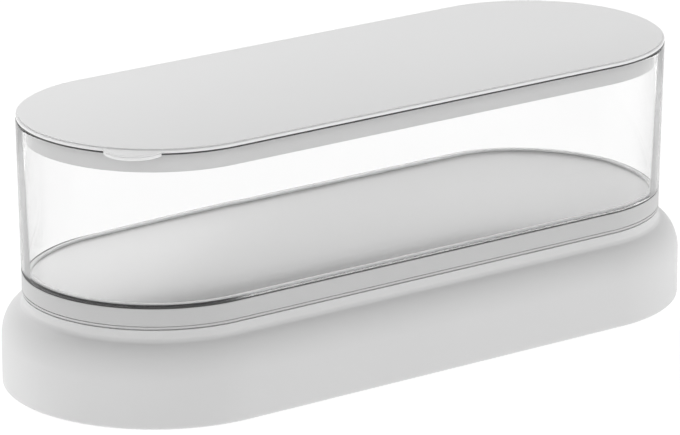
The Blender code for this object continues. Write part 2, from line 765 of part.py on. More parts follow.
def make_lid_cover(grey_plastic, lid_slide):
    crease_radius = PANEL_RADIUS - LID_CREASE_DEPTH
    panel_low = LID_RIM_HIGH + LID_CREASE_HEIGHT
    profile = [
        (CORE_RADIUS, CORE_LOW),
        (CORE_RADIUS, LID_LOW),
        *arc(LID_RADIUS - LID_RIM_EDGE, LID_LOW + LID_RIM_EDGE, LID_RIM_EDGE, LID_RIM_EDGE,
             -90, 0, EDGE_STEPS),
        *arc(LID_RADIUS - LID_RIM_EDGE, LID_RIM_HIGH - LID_RIM_EDGE, LID_RIM_EDGE, LID_RIM_EDGE,
             0, 90, EDGE_STEPS),
        (crease_radius, LID_RIM_HIGH),
        (crease_radius, panel_low),
        (PANEL_RADIUS, panel_low),
        *arc(PANEL_RADIUS - LID_PANEL_EDGE, LID_HIGH - LID_PANEL_EDGE, LID_PANEL_EDGE,
             LID_PANEL_EDGE, 0, 90, EDGE_STEPS),
    ]
    cover = make_object(
        "lid_cover", stadium(profile, SPAN, closed=False), grey_plastic, parent=lid_slide
    )
    tab_high = LID_RIM_HIGH - TAB_DROP
    tab_low = tab_high - TAB_THICKNESS
    groove_high = tab_high - TAB_GROOVE_DROP
    groove_low = groove_high - TAB_GROOVE_HEIGHT
    reach = LID_RADIUS + TAB_PROTRUSION - TAB_RADIUS
    tab_centre = (-SPAN - reach * math.cos(TAB_DIRECTION), -reach * math.sin(TAB_DIRECTION))
    tab_profile = [
        (0, tab_low),
        (TAB_RADIUS, tab_low),
        (TAB_RADIUS, groove_low),
        (TAB_RADIUS - TAB_GROOVE_DEPTH, groove_low),
        (TAB_RADIUS - TAB_GROOVE_DEPTH, groove_high),
        (TAB_RADIUS, groove_high),
        (TAB_RADIUS, tab_high),
        (0, tab_high),
    ]
    tab = make_object(
        "tab_pad", turned(tab_profile, DISC_STEPS), location=(*tab_centre, 0), parent=lid_slide
    )
    room = make_object(
        "tab_wall_room",
        turned(
            rod_profile(TANK_TOP_RADIUS + SEAT_GAP, tab_low - OVERRUN, LID_LOW + TAB_DROP),
            DISC_STEPS,
        ),
        location=(-SPAN, 0, 0),
        parent=lid_slide,
    )
    combine(tab, room, "DIFFERENCE")
    combine(cover, tab, "UNION")


def make_lid_plug(grey_plastic, silicone, lid_slide):
    skirt_inner = PLUG_RADIUS - PLUG_SKIRT
    web_inner = skirt_inner - PLUG_WEB_WIDTH
    web_low = PLUG_HIGH - PLUG_WEB_HEIGHT
    rabbet_low = SEAL_LOW - SEAT_GAP
    plug = [
        (skirt_inner, PLUG_LOW),
        *arc(PLUG_RADIUS - PLUG_EDGE, PLUG_LOW + PLUG_EDGE, PLUG_EDGE, PLUG_EDGE,
             -90, 0, EDGE_STEPS),
        (PLUG_RADIUS, rabbet_low),
        (CORE_RADIUS, rabbet_low),
        (CORE_RADIUS, PLUG_HIGH),
        (web_inner, PLUG_HIGH),
        (web_inner, web_low),
        (skirt_inner, web_low),
    ]
    seal_high = SEAL_LOW + SEAL_HEIGHT
    seal = [
        (SEAL_INNER_RADIUS, SEAL_LOW),
        (SEAL_OUTER_RADIUS - SEAL_EDGE, SEAL_LOW),
        (SEAL_OUTER_RADIUS, SEAL_LOW + SEAL_EDGE),
        (SEAL_OUTER_RADIUS, seal_high - SEAL_EDGE),
        (SEAL_OUTER_RADIUS - SEAL_EDGE, seal_high),
        (SEAL_INNER_RADIUS, seal_high),
    ]
    make_object("lid_plug", stadium(plug, SPAN), grey_plastic, parent=lid_slide)
    make_object("lid_seal", stadium(seal, SPAN), silicone, parent=lid_slide)


def make_transducer(ceramic):
    profile = rod_profile(
        TRANSDUCER_RADIUS, TRANSDUCER_LOW, TRANSDUCER_HIGH, TRANSDUCER_EDGE
    )
    make_object("transducer_disc", turned(profile, DISC_STEPS), ceramic)


def make_driver_board(board_green):
    board = make_object(
        "driver_board",
        block(BOARD_LENGTH, BOARD_WIDTH, BOARD_LOW, BOARD_HIGH,
              centre=(0, BOARD_REAR_Y - BOARD_WIDTH / 2)),
        board_green,
    )
    hole = rod_profile(BOARD_SCREW_RADIUS + SEAT_GAP, BOARD_LOW - OVERRUN, BOARD_HIGH + OVERRUN)
    holes = bmesh.new()
    for centre in board_screw_places():
        turned(hole, PIN_STEPS, holes, centre)
    combine(board, make_object("board_holes", holes), "DIFFERENCE")


def on_board(place_x, place_y):
    return (place_x, BOARD_REAR_Y - place_y, PART_LOW)


def make_capacitor(sleeve):
    crimp = CAPACITOR_RADIUS - CAPACITOR_CRIMP
    profile = [
        (0, 0),
        (CAPACITOR_RADIUS, 0),
        (CAPACITOR_RADIUS, 2 * CAPACITOR_CRIMP),
        (crimp, 3 * CAPACITOR_CRIMP),
        (CAPACITOR_RADIUS, 4 * CAPACITOR_CRIMP),
        (CAPACITOR_RADIUS, CAPACITOR_HEIGHT - CAPACITOR_CRIMP),
        (crimp, CAPACITOR_HEIGHT),
        (0, CAPACITOR_HEIGHT),
    ]
    make_object("filter_capacitor", turned(profile, PIN_STEPS), sleeve,
                location=on_board(CAPACITOR_PLACE, BOARD_WIDTH * CAPACITOR_ROW_SHARE))


def make_inductor(ferrite):
    waist = INDUCTOR_RADIUS * INDUCTOR_WAIST_SHARE
    profile = [
        (0, 0),
        (INDUCTOR_RADIUS, 0),
        (INDUCTOR_RADIUS, INDUCTOR_FLANGE),
        (waist, INDUCTOR_FLANGE),
        (waist, INDUCTOR_HEIGHT - INDUCTOR_FLANGE),
        (INDUCTOR_RADIUS, INDUCTOR_HEIGHT - INDUCTOR_FLANGE),
        (INDUCTOR_RADIUS, INDUCTOR_HEIGHT),
        (0, INDUCTOR_HEIGHT),
    ]
    make_object("drive_inductor", turned(profile, PIN_STEPS), ferrite,
                location=on_board(INDUCTOR_PLACE, BOARD_WIDTH * INDUCTOR_ROW_SHARE))


def make_transformer(ferrite):
    """A core whose waist is filled by the winding, seen from above as a cross."""
    core = TRANSFORMER_CORE_SHARE / 2
    wide, deep = TRANSFORMER_LENGTH / 2, TRANSFORMER_WIDTH / 2
    waist_x, waist_y = TRANSFORMER_LENGTH * core, TRANSFORMER_WIDTH * core
    outline = [
        (wide, -waist_y), (wide, waist_y), (waist_x, waist_y), (waist_x, deep),
        (-waist_x, deep), (-waist_x, waist_y), (-wide, waist_y), (-wide, -waist_y),
        (-waist_x, -waist_y), (-waist_x, -deep), (waist_x, -deep), (waist_x, -waist_y),
    ]
    make_object("drive_transformer", prism(outline, 0, TRANSFORMER_HEIGHT), ferrite,
                location=on_board(TRANSFORMER_PLACE, BOARD_WIDTH * TRANSFORMER_ROW_SHARE))


def make_heat_sink(aluminium, black_epoxy):
    """Fins point to the front. The transistor lies against the flat back."""
    pitch = (SINK_LENGTH - SINK_FIN_WIDTH) / (SINK_FINS - 1)
    fin_end = -SINK_BASE - SINK_FIN_LENGTH
    outline = [(SINK_LENGTH / 2, 0), (-SINK_LENGTH / 2, 0)]
    for fin in range(SINK_FINS):
        left = -SINK_LENGTH / 2 + fin * pitch
        right = left + SINK_FIN_WIDTH
        if fin:
            outline.append((left, -SINK_BASE))
        outline += [(left, fin_end), (right, fin_end)]
        if fin < SINK_FINS - 1:
            outline.append((right, -SINK_BASE))
    back = on_board(SINK_PLACE, SINK_BACK)
    make_object("heat_sink", prism(outline, 0, SINK_HEIGHT), aluminium, location=back)
    transistor_y = back[1] + SEAT_GAP + TRANSISTOR_DEPTH / 2
    make_object(
        "power_transistor",
        block(TRANSISTOR_WIDTH, TRANSISTOR_DEPTH, 0, TRANSISTOR_HEIGHT, PACKAGE_EDGE),
        black_epoxy,
        location=(back[0], transistor_y, PART_LOW),
    )


def make_small_packages(black_epoxy, white_nylon):
    make_object("driver_chip", block(CHIP_LENGTH, CHIP_WIDTH, 0, CHIP_HEIGHT, PACKAGE_EDGE),
                black_epoxy, location=on_board(CHIP_PLACE, CHIP_BACK))
    make_object(
        "lead_connector",
        block(CONNECTOR_LENGTH, CONNECTOR_WIDTH, 0, CONNECTOR_HEIGHT, PACKAGE_EDGE),
        white_nylon,
        location=on_board(CONNECTOR_PLACE, CONNECTOR_BACK),
    )


def make_leads(insulation):
    """Two leads from the connector up to the underside of the transducer."""
    low = PART_LOW + CONNECTOR_HEIGHT + SEAT_GAP
    high = TRANSDUCER_LOW - SEAT_GAP
    middle = (low + high) / 2
    lead_y = BOARD_REAR_Y - CONNECTOR_BACK
    for number, side in enumerate((-1, 1), start=1):
        start_x = CONNECTOR_PLACE + side * LEAD_SPACING / 2
        end_x = LEAD_RIM_INSET - TRANSDUCER_RADIUS + side * LEAD_SPACING / 2
        controls = [(start_x, low), (start_x, middle), (end_x, middle), (end_x, high)]
        curve = bpy.data.curves.new(f"transducer_lead_{number}", "CURVE")
        curve.dimensions = "3D"
        curve.bevel_depth = LEAD_RADIUS
        curve.bevel_resolution = LEAD_SIDES
        curve.use_fill_caps = True
        curve.materials.append(insulation)
        spline = curve.splines.new("POLY")
        spline.points.add(LEAD_POINTS - 1)
        for index, point in enumerate(spline.points):
            along = index / (LEAD_POINTS - 1)
            weights = [
                (1 - along) ** 3,
                3 * along * (1 - along) ** 2,
                3 * along ** 2 * (1 - along),
                along ** 3,
            ]
            x = sum(weight * control[0] for weight, control in zip(weights, controls))
            z = sum(weight * control[1] for weight, control in zip(weights, controls))
            point.co = (x, lead_y, z, 1)
        lead = bpy.data.objects.new(curve.name, curve)
        bpy.context.scene.collection.objects.link(lead)


def make_power_button(white_plastic, black_epoxy, white_nylon):
    radius = BUTTON_HEIGHT / 2
    flange = radius + BUTTON_FLANGE
    rear = (BUTTON_PLACE_X, REAR_Y, CONTROL_Z)
    cap = [
        (radius - BUTTON_EDGE, 0),
        (radius, BUTTON_EDGE),
        (radius, FLANGE_DEPTH),
        (flange, FLANGE_DEPTH),
        (flange, FLANGE_BACK),
    ]
    make_object(
        "power_button",
        stadium(cap, (BUTTON_LENGTH - BUTTON_HEIGHT) / 2, closed=False, steps=SMALL_END_STEPS),
        white_plastic,
        location=rear,
        facing_rear=True,
    )
    plunger = turned(rod_profile(PLUNGER_RADIUS, PLUNGER_FRONT, PLUNGER_BACK), PIN_STEPS)
    make_object("switch_plunger", plunger, white_nylon, location=rear, facing_rear=True)
    switch = make_object(
        "button_switch",
        block(SWITCH_WIDTH, SWITCH_HEIGHT, SWITCH_FRONT, SWITCH_FRONT + SWITCH_DEPTH,
              PACKAGE_EDGE),
        black_epoxy,
        location=rear,
        facing_rear=True,
    )
    bore_end = PLUNGER_BACK + BUTTON_TRAVEL + SEAT_GAP
    bore = turned(
        rod_profile(PLUNGER_RADIUS + SEAT_GAP, SWITCH_FRONT - OVERRUN, bore_end), PIN_STEPS
    )
    combine(switch, make_object("switch_bore", bore, location=rear, facing_rear=True),
            "DIFFERENCE")


def make_indicator(light_guide, white_nylon):
    rear = (LENS_PLACE_X, REAR_Y, CONTROL_Z)
    collar = LENS_RADIUS + LENS_COLLAR
    lens_end = SWITCH_FRONT - SEAT_GAP
    lens = [
        (0, 0),
        (LENS_RADIUS, 0),
        (LENS_RADIUS, FLANGE_DEPTH),
        (collar, FLANGE_DEPTH),
        (collar, FLANGE_DEPTH + LENS_COLLAR_THICKNESS),
        (LENS_RADIUS, FLANGE_DEPTH + LENS_COLLAR_THICKNESS),
        (LENS_RADIUS, lens_end),
        (0, lens_end),
    ]
    make_object("indicator_lens", turned(lens, PIN_STEPS), light_guide, location=rear,
                facing_rear=True)
    make_object(
        "indicator_led",
        block(LED_WIDTH, SWITCH_HEIGHT, SWITCH_FRONT, SWITCH_FRONT + LED_DEPTH, PACKAGE_EDGE),
        white_nylon,
        location=rear,
        facing_rear=True,
    )


def make_power_inlet(steel, black_epoxy):
    rear = (INLET_PLACE_X, REAR_Y, INLET_Z)
    outer = INLET_HEIGHT / 2
    inner = outer - INLET_SHELL
    back = INLET_RECESS + INLET_LENGTH
    inner_back = back - INLET_BACK
    shell = [(inner, inner_back), (inner, INLET_RECESS), (outer, INLET_RECESS), (outer, back)]
    make_object(
        "usb_socket",
        stadium(shell, (INLET_WIDTH - INLET_HEIGHT) / 2, closed=False, steps=SMALL_END_STEPS),
        steel,
        location=rear,
        facing_rear=True,
    )
    tongue_back = inner_back - SEAT_GAP
    make_object(
        "usb_tongue",
        block(TONGUE_WIDTH, TONGUE_THICKNESS, tongue_back - TONGUE_LENGTH, tongue_back),
        black_epoxy,
        location=rear,
        facing_rear=True,
    )


def make_lid_slide():
    """An empty at the lid's seat. The lid lifts straight up from it."""
    slide = bpy.data.objects.new("lid_slide", None)
    bpy.context.scene.collection.objects.link(slide)
    slide.location = (0, 0, LID_LOW)
    bpy.context.view_layer.update()
    return slide


def main():
    clear_scene()
    white_plastic = finish_material("white plastic", (0.80, 0.80, 0.80), 0.45)
    grey_plastic = finish_material("pale grey plastic", (0.70, 0.70, 0.70), 0.35)
    clear_plastic = finish_material("clear plastic", (0.97, 0.98, 0.98), 0.03, 0.0, 0.9)
    silicone = finish_material("clear silicone", (0.85, 0.86, 0.86), 0.30, 0.0, 0.4)
    brushed_steel = finish_material("satin steel", (0.62, 0.62, 0.62), 0.30, 1.0)
    screw_steel = finish_material("screw steel", (0.45, 0.45, 0.46), 0.35, 1.0)
    dark_rubber = finish_material("dark rubber", (0.03, 0.03, 0.03), 0.60)
    foot_rubber = finish_material("grey foot rubber", (0.35, 0.35, 0.35), 0.75)
    ceramic = finish_material("silvered ceramic", (0.60, 0.58, 0.54), 0.40, 0.6)
    board_green = finish_material("green board", (0.03, 0.20, 0.08), 0.45)
    sleeve = finish_material("capacitor sleeve", (0.03, 0.04, 0.10), 0.40)
    ferrite = finish_material("ferrite", (0.06, 0.06, 0.07), 0.55)
    aluminium = finish_material("aluminium", (0.70, 0.70, 0.71), 0.35, 1.0)
    black_epoxy = finish_material("black epoxy", (0.02, 0.02, 0.02), 0.50)
    white_nylon = finish_material("white nylon", (0.85, 0.85, 0.82), 0.50)
    insulation = finish_material("lead insulation", (0.45, 0.03, 0.03), 0.45)
    light_guide = finish_material("light guide", (0.80, 0.90, 1.00), 0.15, 0.0, 0.5)

    make_base_housing(white_plastic)
    make_bottom_cover(white_plastic)
    make_feet(foot_rubber)
    make_cover_screws(screw_steel)
    make_tank_collar(white_plastic)
    make_tank_wall(clear_plastic)
    make_tank_floor(brushed_steel, dark_rubber, silicone)
    make_transducer(ceramic)
    make_driver_board(board_green)
    make_board_screws(screw_steel)
    make_capacitor(sleeve)
    make_inductor(ferrite)
    make_transformer(ferrite)
    make_heat_sink(aluminium, black_epoxy)
    make_small_packages(black_epoxy, white_nylon)
    make_leads(insulation)
    make_power_button(white_plastic, black_epoxy, white_nylon)
    make_indicator(light_guide, white_nylon)
    make_power_inlet(brushed_steel, black_epoxy)

    lid_slide = make_lid_slide()
    make_lid_cover(grey_plastic, lid_slide)
    make_lid_plug(grey_plastic, silicone, lid_slide)


main()
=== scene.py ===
import math

import bmesh
import bpy
from mathutils import Matrix, Vector


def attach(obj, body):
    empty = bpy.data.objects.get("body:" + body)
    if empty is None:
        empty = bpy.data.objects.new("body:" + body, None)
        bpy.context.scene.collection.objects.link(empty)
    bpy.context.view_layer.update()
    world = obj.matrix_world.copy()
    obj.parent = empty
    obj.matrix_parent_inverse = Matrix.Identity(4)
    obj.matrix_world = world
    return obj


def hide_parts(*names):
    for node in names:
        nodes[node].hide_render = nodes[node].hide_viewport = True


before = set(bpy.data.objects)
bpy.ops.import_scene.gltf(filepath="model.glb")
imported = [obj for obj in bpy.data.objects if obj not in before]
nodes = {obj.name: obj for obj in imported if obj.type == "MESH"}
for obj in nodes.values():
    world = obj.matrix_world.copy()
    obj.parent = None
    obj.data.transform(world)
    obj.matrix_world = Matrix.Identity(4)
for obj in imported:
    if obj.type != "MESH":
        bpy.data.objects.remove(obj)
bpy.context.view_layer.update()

# Every piece is drawn in millimetres and scaled once, when its mesh is made.
mm = 0.001
plan = {"span": 60.25, "endSteps": 72, "smallSteps": 20, "turnSteps": 64, "overrun": 1,
        "weld": 0.0005, "sharpAngle": 32}


# Finishes: a signal is a socket's output, and sums of signals add Math nodes.
class Signal:
    def __init__(self, bench, socket):
        self.bench = bench
        self.socket = socket

    def sum(self, operation, first, second):
        return self.bench.node("ShaderNodeMath", {"operation": operation}, {0: first, 1: second})

    def __add__(self, other):
        return self.sum("ADD", self, other)

    def __radd__(self, other):
        return self.sum("ADD", other, self)

    def __sub__(self, other):
        return self.sum("SUBTRACT", self, other)

    def __rsub__(self, other):
        return self.sum("SUBTRACT", other, self)

    def __mul__(self, other):
        return self.sum("MULTIPLY", self, other)

    def __rmul__(self, other):
        return self.sum("MULTIPLY", other, self)


# A bench is the node tree of one finish.
class Bench:
    def __init__(self, tree):
        self.tree = tree
        tree.nodes.clear()

    def node(self, kind, settings=None, values=None, out=0):
        made = self.tree.nodes.new(kind)
        for name, value in (settings or {}).items():
            setattr(made, name, value)
        for name, value in (values or {}).items():
            if isinstance(value, Signal):
                self.tree.links.new(value.socket, made.inputs[name])
            else:
                made.inputs[name].default_value = value
        return Signal(self, made.outputs[out])

    def place(self, stretch=(1, 1, 1)):
        here = self.node("ShaderNodeTexCoord", out="Object")
        return self.node("ShaderNodeMapping", {}, {"Vector": here, "Scale": stretch})

    def noise(self, place, scale, detail, roughness=0.5):
        values = {"Vector": place, "Scale": scale, "Detail": detail, "Roughness": roughness}
        return self.node("ShaderNodeTexNoise", {}, values)

    def between(self, factor, first, second):
        values = {0: factor, 6: (*first, 1), 7: (*second, 1)}
        return self.node("ShaderNodeMix", {"data_type": "RGBA"}, values, out=2)

    def bump(self, height, distance):
        values = {"Height": height, "Distance": distance, "Strength": 1.0}
        return self.node("ShaderNodeBump", {}, values)

    def fade(self, value, low, high, start, end):
        # smooth change from start to end while the value goes from low to high
        values = {"Value": value, "From Min": low, "From Max": high, "To Min": start,
                  "To Max": end}
        return self.node("ShaderNodeMapRange", {"interpolation_type": "SMOOTHSTEP"}, values)

    def blend(self, factor, first, second):
        return self.node("ShaderNodeMixShader", {}, {0: factor, 1: first, 2: second})

    def finish(self, shader, output="ShaderNodeOutputMaterial"):
        made = self.tree.nodes.new(output)
        self.tree.links.new(shader.socket, made.inputs["Surface"])


def newFinish(name):
    finish = bpy.data.materials.new(name)
    finish.use_nodes = True
    return finish, Bench(finish.node_tree)


def shade(colour, change):
    return tuple(min(1.0, part * change) for part in colour)


# Looks of the finishes: pattern scales are counts in a metre and grains are depths in metres.
mouldedLook = {"slowScale": 22, "slowGloss": 0.08, "fineGloss": 0.04}


def mouldedPlastic(name, colour, roughness, drift=0.02, grain=0.00001, scale=3500):
    # satin moulding: a slow drift of tone, uneven gloss and a fine spark-eroded grain
    look = mouldedLook
    finish, bench = newFinish(name)
    place = bench.place()
    slow = bench.noise(place, look["slowScale"], 3)
    fine = bench.noise(place, scale, 1)
    middle = (look["slowGloss"] + look["fineGloss"]) / 2
    bench.finish(bench.node("ShaderNodeBsdfPrincipled", {}, {
        "Base Color": bench.between(slow, shade(colour, 1 - drift), shade(colour, 1 + drift)),
        "Roughness": slow * look["slowGloss"] + fine * look["fineGloss"] + (roughness - middle),
        "Normal": bench.bump(fine, grain),
    }))
    return finish


brushedLook = {"slowScale": 14, "lineShare": 0.7, "lineGloss": 0.14, "drift": 0.05,
               "grain": 0.000004}


def brushedMetal(name, colour, roughness, stretch):
    # long fine brush lines along one axis
    look = brushedLook
    finish, bench = newFinish(name)
    lines = bench.noise(bench.place(stretch), 1, 4, 0.65)
    slow = bench.noise(bench.place(), look["slowScale"], 2)
    tone = lines * look["lineShare"] + slow * (1 - look["lineShare"])
    bench.finish(bench.node("ShaderNodeBsdfPrincipled", {}, {
        "Base Color": bench.between(tone, shade(colour, 1 - look["drift"]),
                                    shade(colour, 1 + look["drift"])),
        "Metallic": 1.0,
        "Roughness": lines * look["lineGloss"] + (roughness - look["lineGloss"] / 2),
        "Normal": bench.bump(lines, look["grain"]),
    }))
    return finish


rubberLook = {"patchScale": 90, "patchGloss": 0.12, "bloom": 0.25, "bloomLift": 1.6,
              "grainScale": 2600, "grain": 0.00002}


def mattRubber(name, colour, roughness):
    # matt rubber with a pale bloom in patches
    look = rubberLook
    finish, bench = newFinish(name)
    place = bench.place()
    patches = bench.noise(place, look["patchScale"], 4, 0.6)
    fine = bench.noise(place, look["grainScale"], 2)
    bench.finish(bench.node("ShaderNodeBsdfPrincipled", {}, {
        "Base Color": bench.between(patches * look["bloom"], colour,
                                    shade(colour, look["bloomLift"])),
        "Roughness": patches * look["patchGloss"] + (roughness - look["patchGloss"] / 2),
        "Normal": bench.bump(fine, look["grain"]),
    }))
    return finish


# The clear wall's sizes are in millimetres; its painted grey edge shade and a fainter, wider
# spread of it follow how far a face turns away.
wallLook = {
    "dull": (0.990, 0.990, 0.990), "clean": (0.999, 0.999, 0.999),
    "smudgeScale": 30, "smudgeGloss": 0.012, "index": 1.12,
    "coat": 0.5, "coatRoughness": 0.04, "coatIndex": 1.49,
    "edgeShadeColour": (0.36, 0.36, 0.36, 1), "edgeRoughness": 0.2,
    "edgeFrom": 0.67, "edgeTo": 0.705, "edgeMost": 0.70,
    "wideEdgeShadeFrom": 0.45, "wideEdgeShadeTo": 0.75, "wideEdgeShadeMost": 0.08,
    # near-black painted shadow on the wall's foot round the tab's end
    "footShadeColour": (0.05, 0.05, 0.05, 1), "footShadeRoughness": 0.5,
    "footShadeFrom": -66, "footShadeTo": -54, "footShadeHigh": 31.5,
    "skinRadius": 33.9, "outerDrop": 0.23, "edgeClimb": 1.2,
}


def clearWall(name):
    # polished clear copolyester: faint smudges from handling, and a painted grey shade where it
    # is seen edge on, with a fainter spread of that shade toward more open angles
    look = wallLook
    finish, bench = newFinish(name)
    place = bench.place()
    smudge = bench.noise(place, look["smudgeScale"], 4, 0.6)
    clear = bench.node("ShaderNodeBsdfPrincipled", {}, {
        "Base Color": bench.between(smudge, look["dull"], look["clean"]),
        "Roughness": smudge * look["smudgeGloss"],
        "IOR": look["index"],
        "Transmission Weight": 1.0,
        "Coat Weight": look["coat"],
        "Coat Roughness": look["coatRoughness"],
        "Coat IOR": look["coatIndex"],
    })
    # painted grey shade for where the wall is seen edge on
    edge = bench.node("ShaderNodeBsdfPrincipled", {}, {
        "Base Color": look["edgeShadeColour"],
        "Roughness": look["edgeRoughness"],
    })
    # the distance from the tank's centre line tells the outer skin from the inner one
    away = place
    for operation, other in (("ABSOLUTE", (0, 0, 0)), ("SUBTRACT", (plan["span"] * mm, 0, 0)),
                             ("MAXIMUM", (0, 0, 0)), ("MULTIPLY", (1, 1, 0))):
        away = bench.node("ShaderNodeVectorMath", {"operation": operation}, {0: away, 1: other})
    away = bench.node("ShaderNodeVectorMath", {"operation": "LENGTH"}, {0: away}, out="Value")
    outer = bench.node("ShaderNodeMath", {"operation": "GREATER_THAN"},
                       {0: away, 1: look["skinRadius"] * mm})
    facing = bench.node("ShaderNodeLayerWeight", {}, {"Blend": 0.5}, out="Facing")
    edgeOn = bench.fade(facing, look["edgeFrom"], look["edgeTo"], 0.0, look["edgeMost"]) * outer
    # a faint painted grey shade, spread wider than the edge's
    wideEdgeShade = bench.fade(facing, look["wideEdgeShadeFrom"], look["wideEdgeShadeTo"], 0.0, look["wideEdgeShadeMost"])
    wall = bench.blend(edgeOn + wideEdgeShade, clear, edge)
    # round the tab's end a near-black painted shadow covers the wall's foot up to a set height
    footShade = bench.node("ShaderNodeBsdfPrincipled", {}, {
        "Base Color": look["footShadeColour"],
        "Roughness": look["footShadeRoughness"],
    })
    along = bench.node("ShaderNodeSeparateXYZ", {}, {"Vector": place}, out="X")
    height = bench.node("ShaderNodeSeparateXYZ", {}, {"Vector": place}, out="Z")
    footShadeAlong = bench.fade(along, look["footShadeFrom"] * mm, look["footShadeTo"] * mm, 1.0, 0.0)
    rise = height + outer * (look["outerDrop"] * mm) - edgeOn * (look["edgeClimb"] * mm)
    low = bench.node("ShaderNodeMath", {"operation": "LESS_THAN"},
                     {0: rise, 1: look["footShadeHigh"] * mm})
    bench.finish(bench.blend(footShadeAlong * low, wall, footShade))
    return finish


siliconeLook = {"cloudScale": 160, "cloudGloss": 0.1, "darkest": 0.96, "lightest": 1.03,
                "grain": 0.00002}


def softSilicone(name, colour, roughness=0.25):
    # filled silicone, a little cloudy
    look = siliconeLook
    finish, bench = newFinish(name)
    cloud = bench.noise(bench.place(), look["cloudScale"], 3)
    bench.finish(bench.node("ShaderNodeBsdfPrincipled", {}, {
        "Base Color": bench.between(cloud, shade(colour, look["darkest"]),
                                    shade(colour, look["lightest"])),
        "Roughness": cloud * look["cloudGloss"] + roughness,
        "Normal": bench.bump(cloud, look["grain"]),
    }))
    return finish


guideLook = {"swirlScale": 600, "swirlGloss": 0.1, "roughness": 0.1, "clearness": 0.7,
             "index": 1.49, "shadow": (0.78, 0.88, 0.95), "light": (0.88, 0.95, 1.0)}


def lightGuide(name):
    # pale blue clear plastic with slow swirls
    look = guideLook
    finish, bench = newFinish(name)
    swirl = bench.noise(bench.place(), look["swirlScale"], 3)
    bench.finish(bench.node("ShaderNodeBsdfPrincipled", {}, {
        "Base Color": bench.between(swirl, look["shadow"], look["light"]),
        "Roughness": swirl * look["swirlGloss"] + look["roughness"],
        "Transmission Weight": look["clearness"],
        "IOR": look["index"],
    }))
    return finish


boardLook = {
    "trackScale": 260.0, "trackWidth": 0.06, "trackSoft": 0.1, "padScale": 320.0,
    "padSize": 0.16, "padMetal": 0.9, "trackGloss": 0.1, "roughness": 0.3, "grain": 0.00003,
    "mask": (0.012, 0.13, 0.045), "track": (0.03, 0.22, 0.08), "pad": (0.72, 0.70, 0.66),
}


def solderMask(name):
    # green board: copper under the mask shows as lighter tracks, with round pads
    look = boardLook
    finish, bench = newFinish(name)
    place = bench.place()
    tracks = bench.node("ShaderNodeTexBrick", {"offset": 0.5}, {
        "Vector": place, "Scale": look["trackScale"], "Mortar Size": look["trackWidth"],
        "Mortar Smooth": look["trackSoft"],
        "Color1": (0, 0, 0, 1), "Color2": (0.25, 0.25, 0.25, 1), "Mortar": (1, 1, 1, 1),
    }, out="Fac")
    dots = bench.node("ShaderNodeTexVoronoi", {}, {"Vector": place, "Scale": look["padScale"]})
    pads = bench.node("ShaderNodeMath", {"operation": "LESS_THAN"}, {0: dots, 1: look["padSize"]})
    green = bench.between(tracks, look["mask"], look["track"])
    mixed = bench.node("ShaderNodeMix", {"data_type": "RGBA"},
                       {0: pads, 6: green, 7: (*look["pad"], 1)}, out=2)
    bench.finish(bench.node("ShaderNodeBsdfPrincipled", {}, {
        "Base Color": mixed,
        "Metallic": pads * look["padMetal"],
        "Roughness": tracks * look["trackGloss"] + look["roughness"],
        "Normal": bench.bump(tracks, look["grain"]),
    }))
    return finish


ceramicLook = {"streakScale": 400, "streakGloss": 0.2, "roughness": 0.3, "metal": 0.7,
               "grain": 0.00001, "dull": (0.52, 0.50, 0.46), "bright": (0.66, 0.65, 0.61)}


def silveredCeramic(name):
    # fired silver on the transducer disc, wiped on in streaks
    look = ceramicLook
    finish, bench = newFinish(name)
    streaks = bench.noise(bench.place(), look["streakScale"], 5, 0.7)
    bench.finish(bench.node("ShaderNodeBsdfPrincipled", {}, {
        "Base Color": bench.between(streaks, look["dull"], look["bright"]),
        "Metallic": look["metal"],
        "Roughness": streaks * look["streakGloss"] + look["roughness"],
        "Normal": bench.bump(streaks, look["grain"]),
    }))
    return finish


finishes = {
    "white": mouldedPlastic("whiteMoulding", (0.80, 0.80, 0.80), 0.42, drift=0.012),
    # the collar's white plastic, darkened as painted shade
    "collarShadedWhite": mouldedPlastic("collarShadedMoulding", (0.65, 0.65, 0.65), 0.40, drift=0.012),
    "lidGrey": mouldedPlastic("paleGreyMoulding", (0.94, 0.94, 0.94), 0.36, drift=0.012),
    # the lid's grey plastic, darkened as painted shade for the skirt inside the clear wall
    "skirtShadedGrey": mouldedPlastic("skirtShadedMoulding", (0.76, 0.76, 0.76), 0.36, drift=0.012),
    "clear": clearWall("clearMoulding"),
    "silicone": softSilicone("milkySilicone", (0.96, 0.96, 0.96), 0.08),
    # silicone coloured near black as painted shadow for the seam under the lid
    "seamShadowSilicone": softSilicone("seamShadowSilicone", (0.05, 0.05, 0.05)),
    "floorSteel": brushedMetal("satinFloorSteel", (0.585, 0.585, 0.585), 0.24, (6, 900, 900)),
    "socketSteel": brushedMetal("socketSteel", (0.62, 0.62, 0.63), 0.28, (1500, 1500, 60)),
    "screwSteel": brushedMetal("screwSteel", (0.45, 0.45, 0.46), 0.36, (900, 900, 900)),
    "aluminium": brushedMetal("extrudedAluminium", (0.70, 0.70, 0.71), 0.34, (1200, 1200, 20)),
    "darkRubber": mattRubber("darkRubber", (0.06, 0.06, 0.06), 0.5),
    "footRubber": mattRubber("footRubber", (0.33, 0.33, 0.33), 0.78),
    "epoxy": mouldedPlastic("blackEpoxy", (0.02, 0.02, 0.021), 0.5, drift=0.2, grain=0.00002),
    "nylon": mouldedPlastic("whiteNylon", (0.80, 0.80, 0.76), 0.48),
    "sleeve": mouldedPlastic("capacitorSleeve", (0.02, 0.03, 0.09), 0.3, drift=0.1),
    "ferrite": mouldedPlastic("sinteredFerrite", (0.05, 0.05, 0.055), 0.6, drift=0.25,
                              grain=0.00004, scale=1800),
    "insulation": mouldedPlastic("redInsulation", (0.42, 0.02, 0.02), 0.38, drift=0.05),
    "board": solderMask("greenBoard"),
    "ceramic": silveredCeramic("silveredCeramic"),
    "lens": lightGuide("lightGuide"),
}
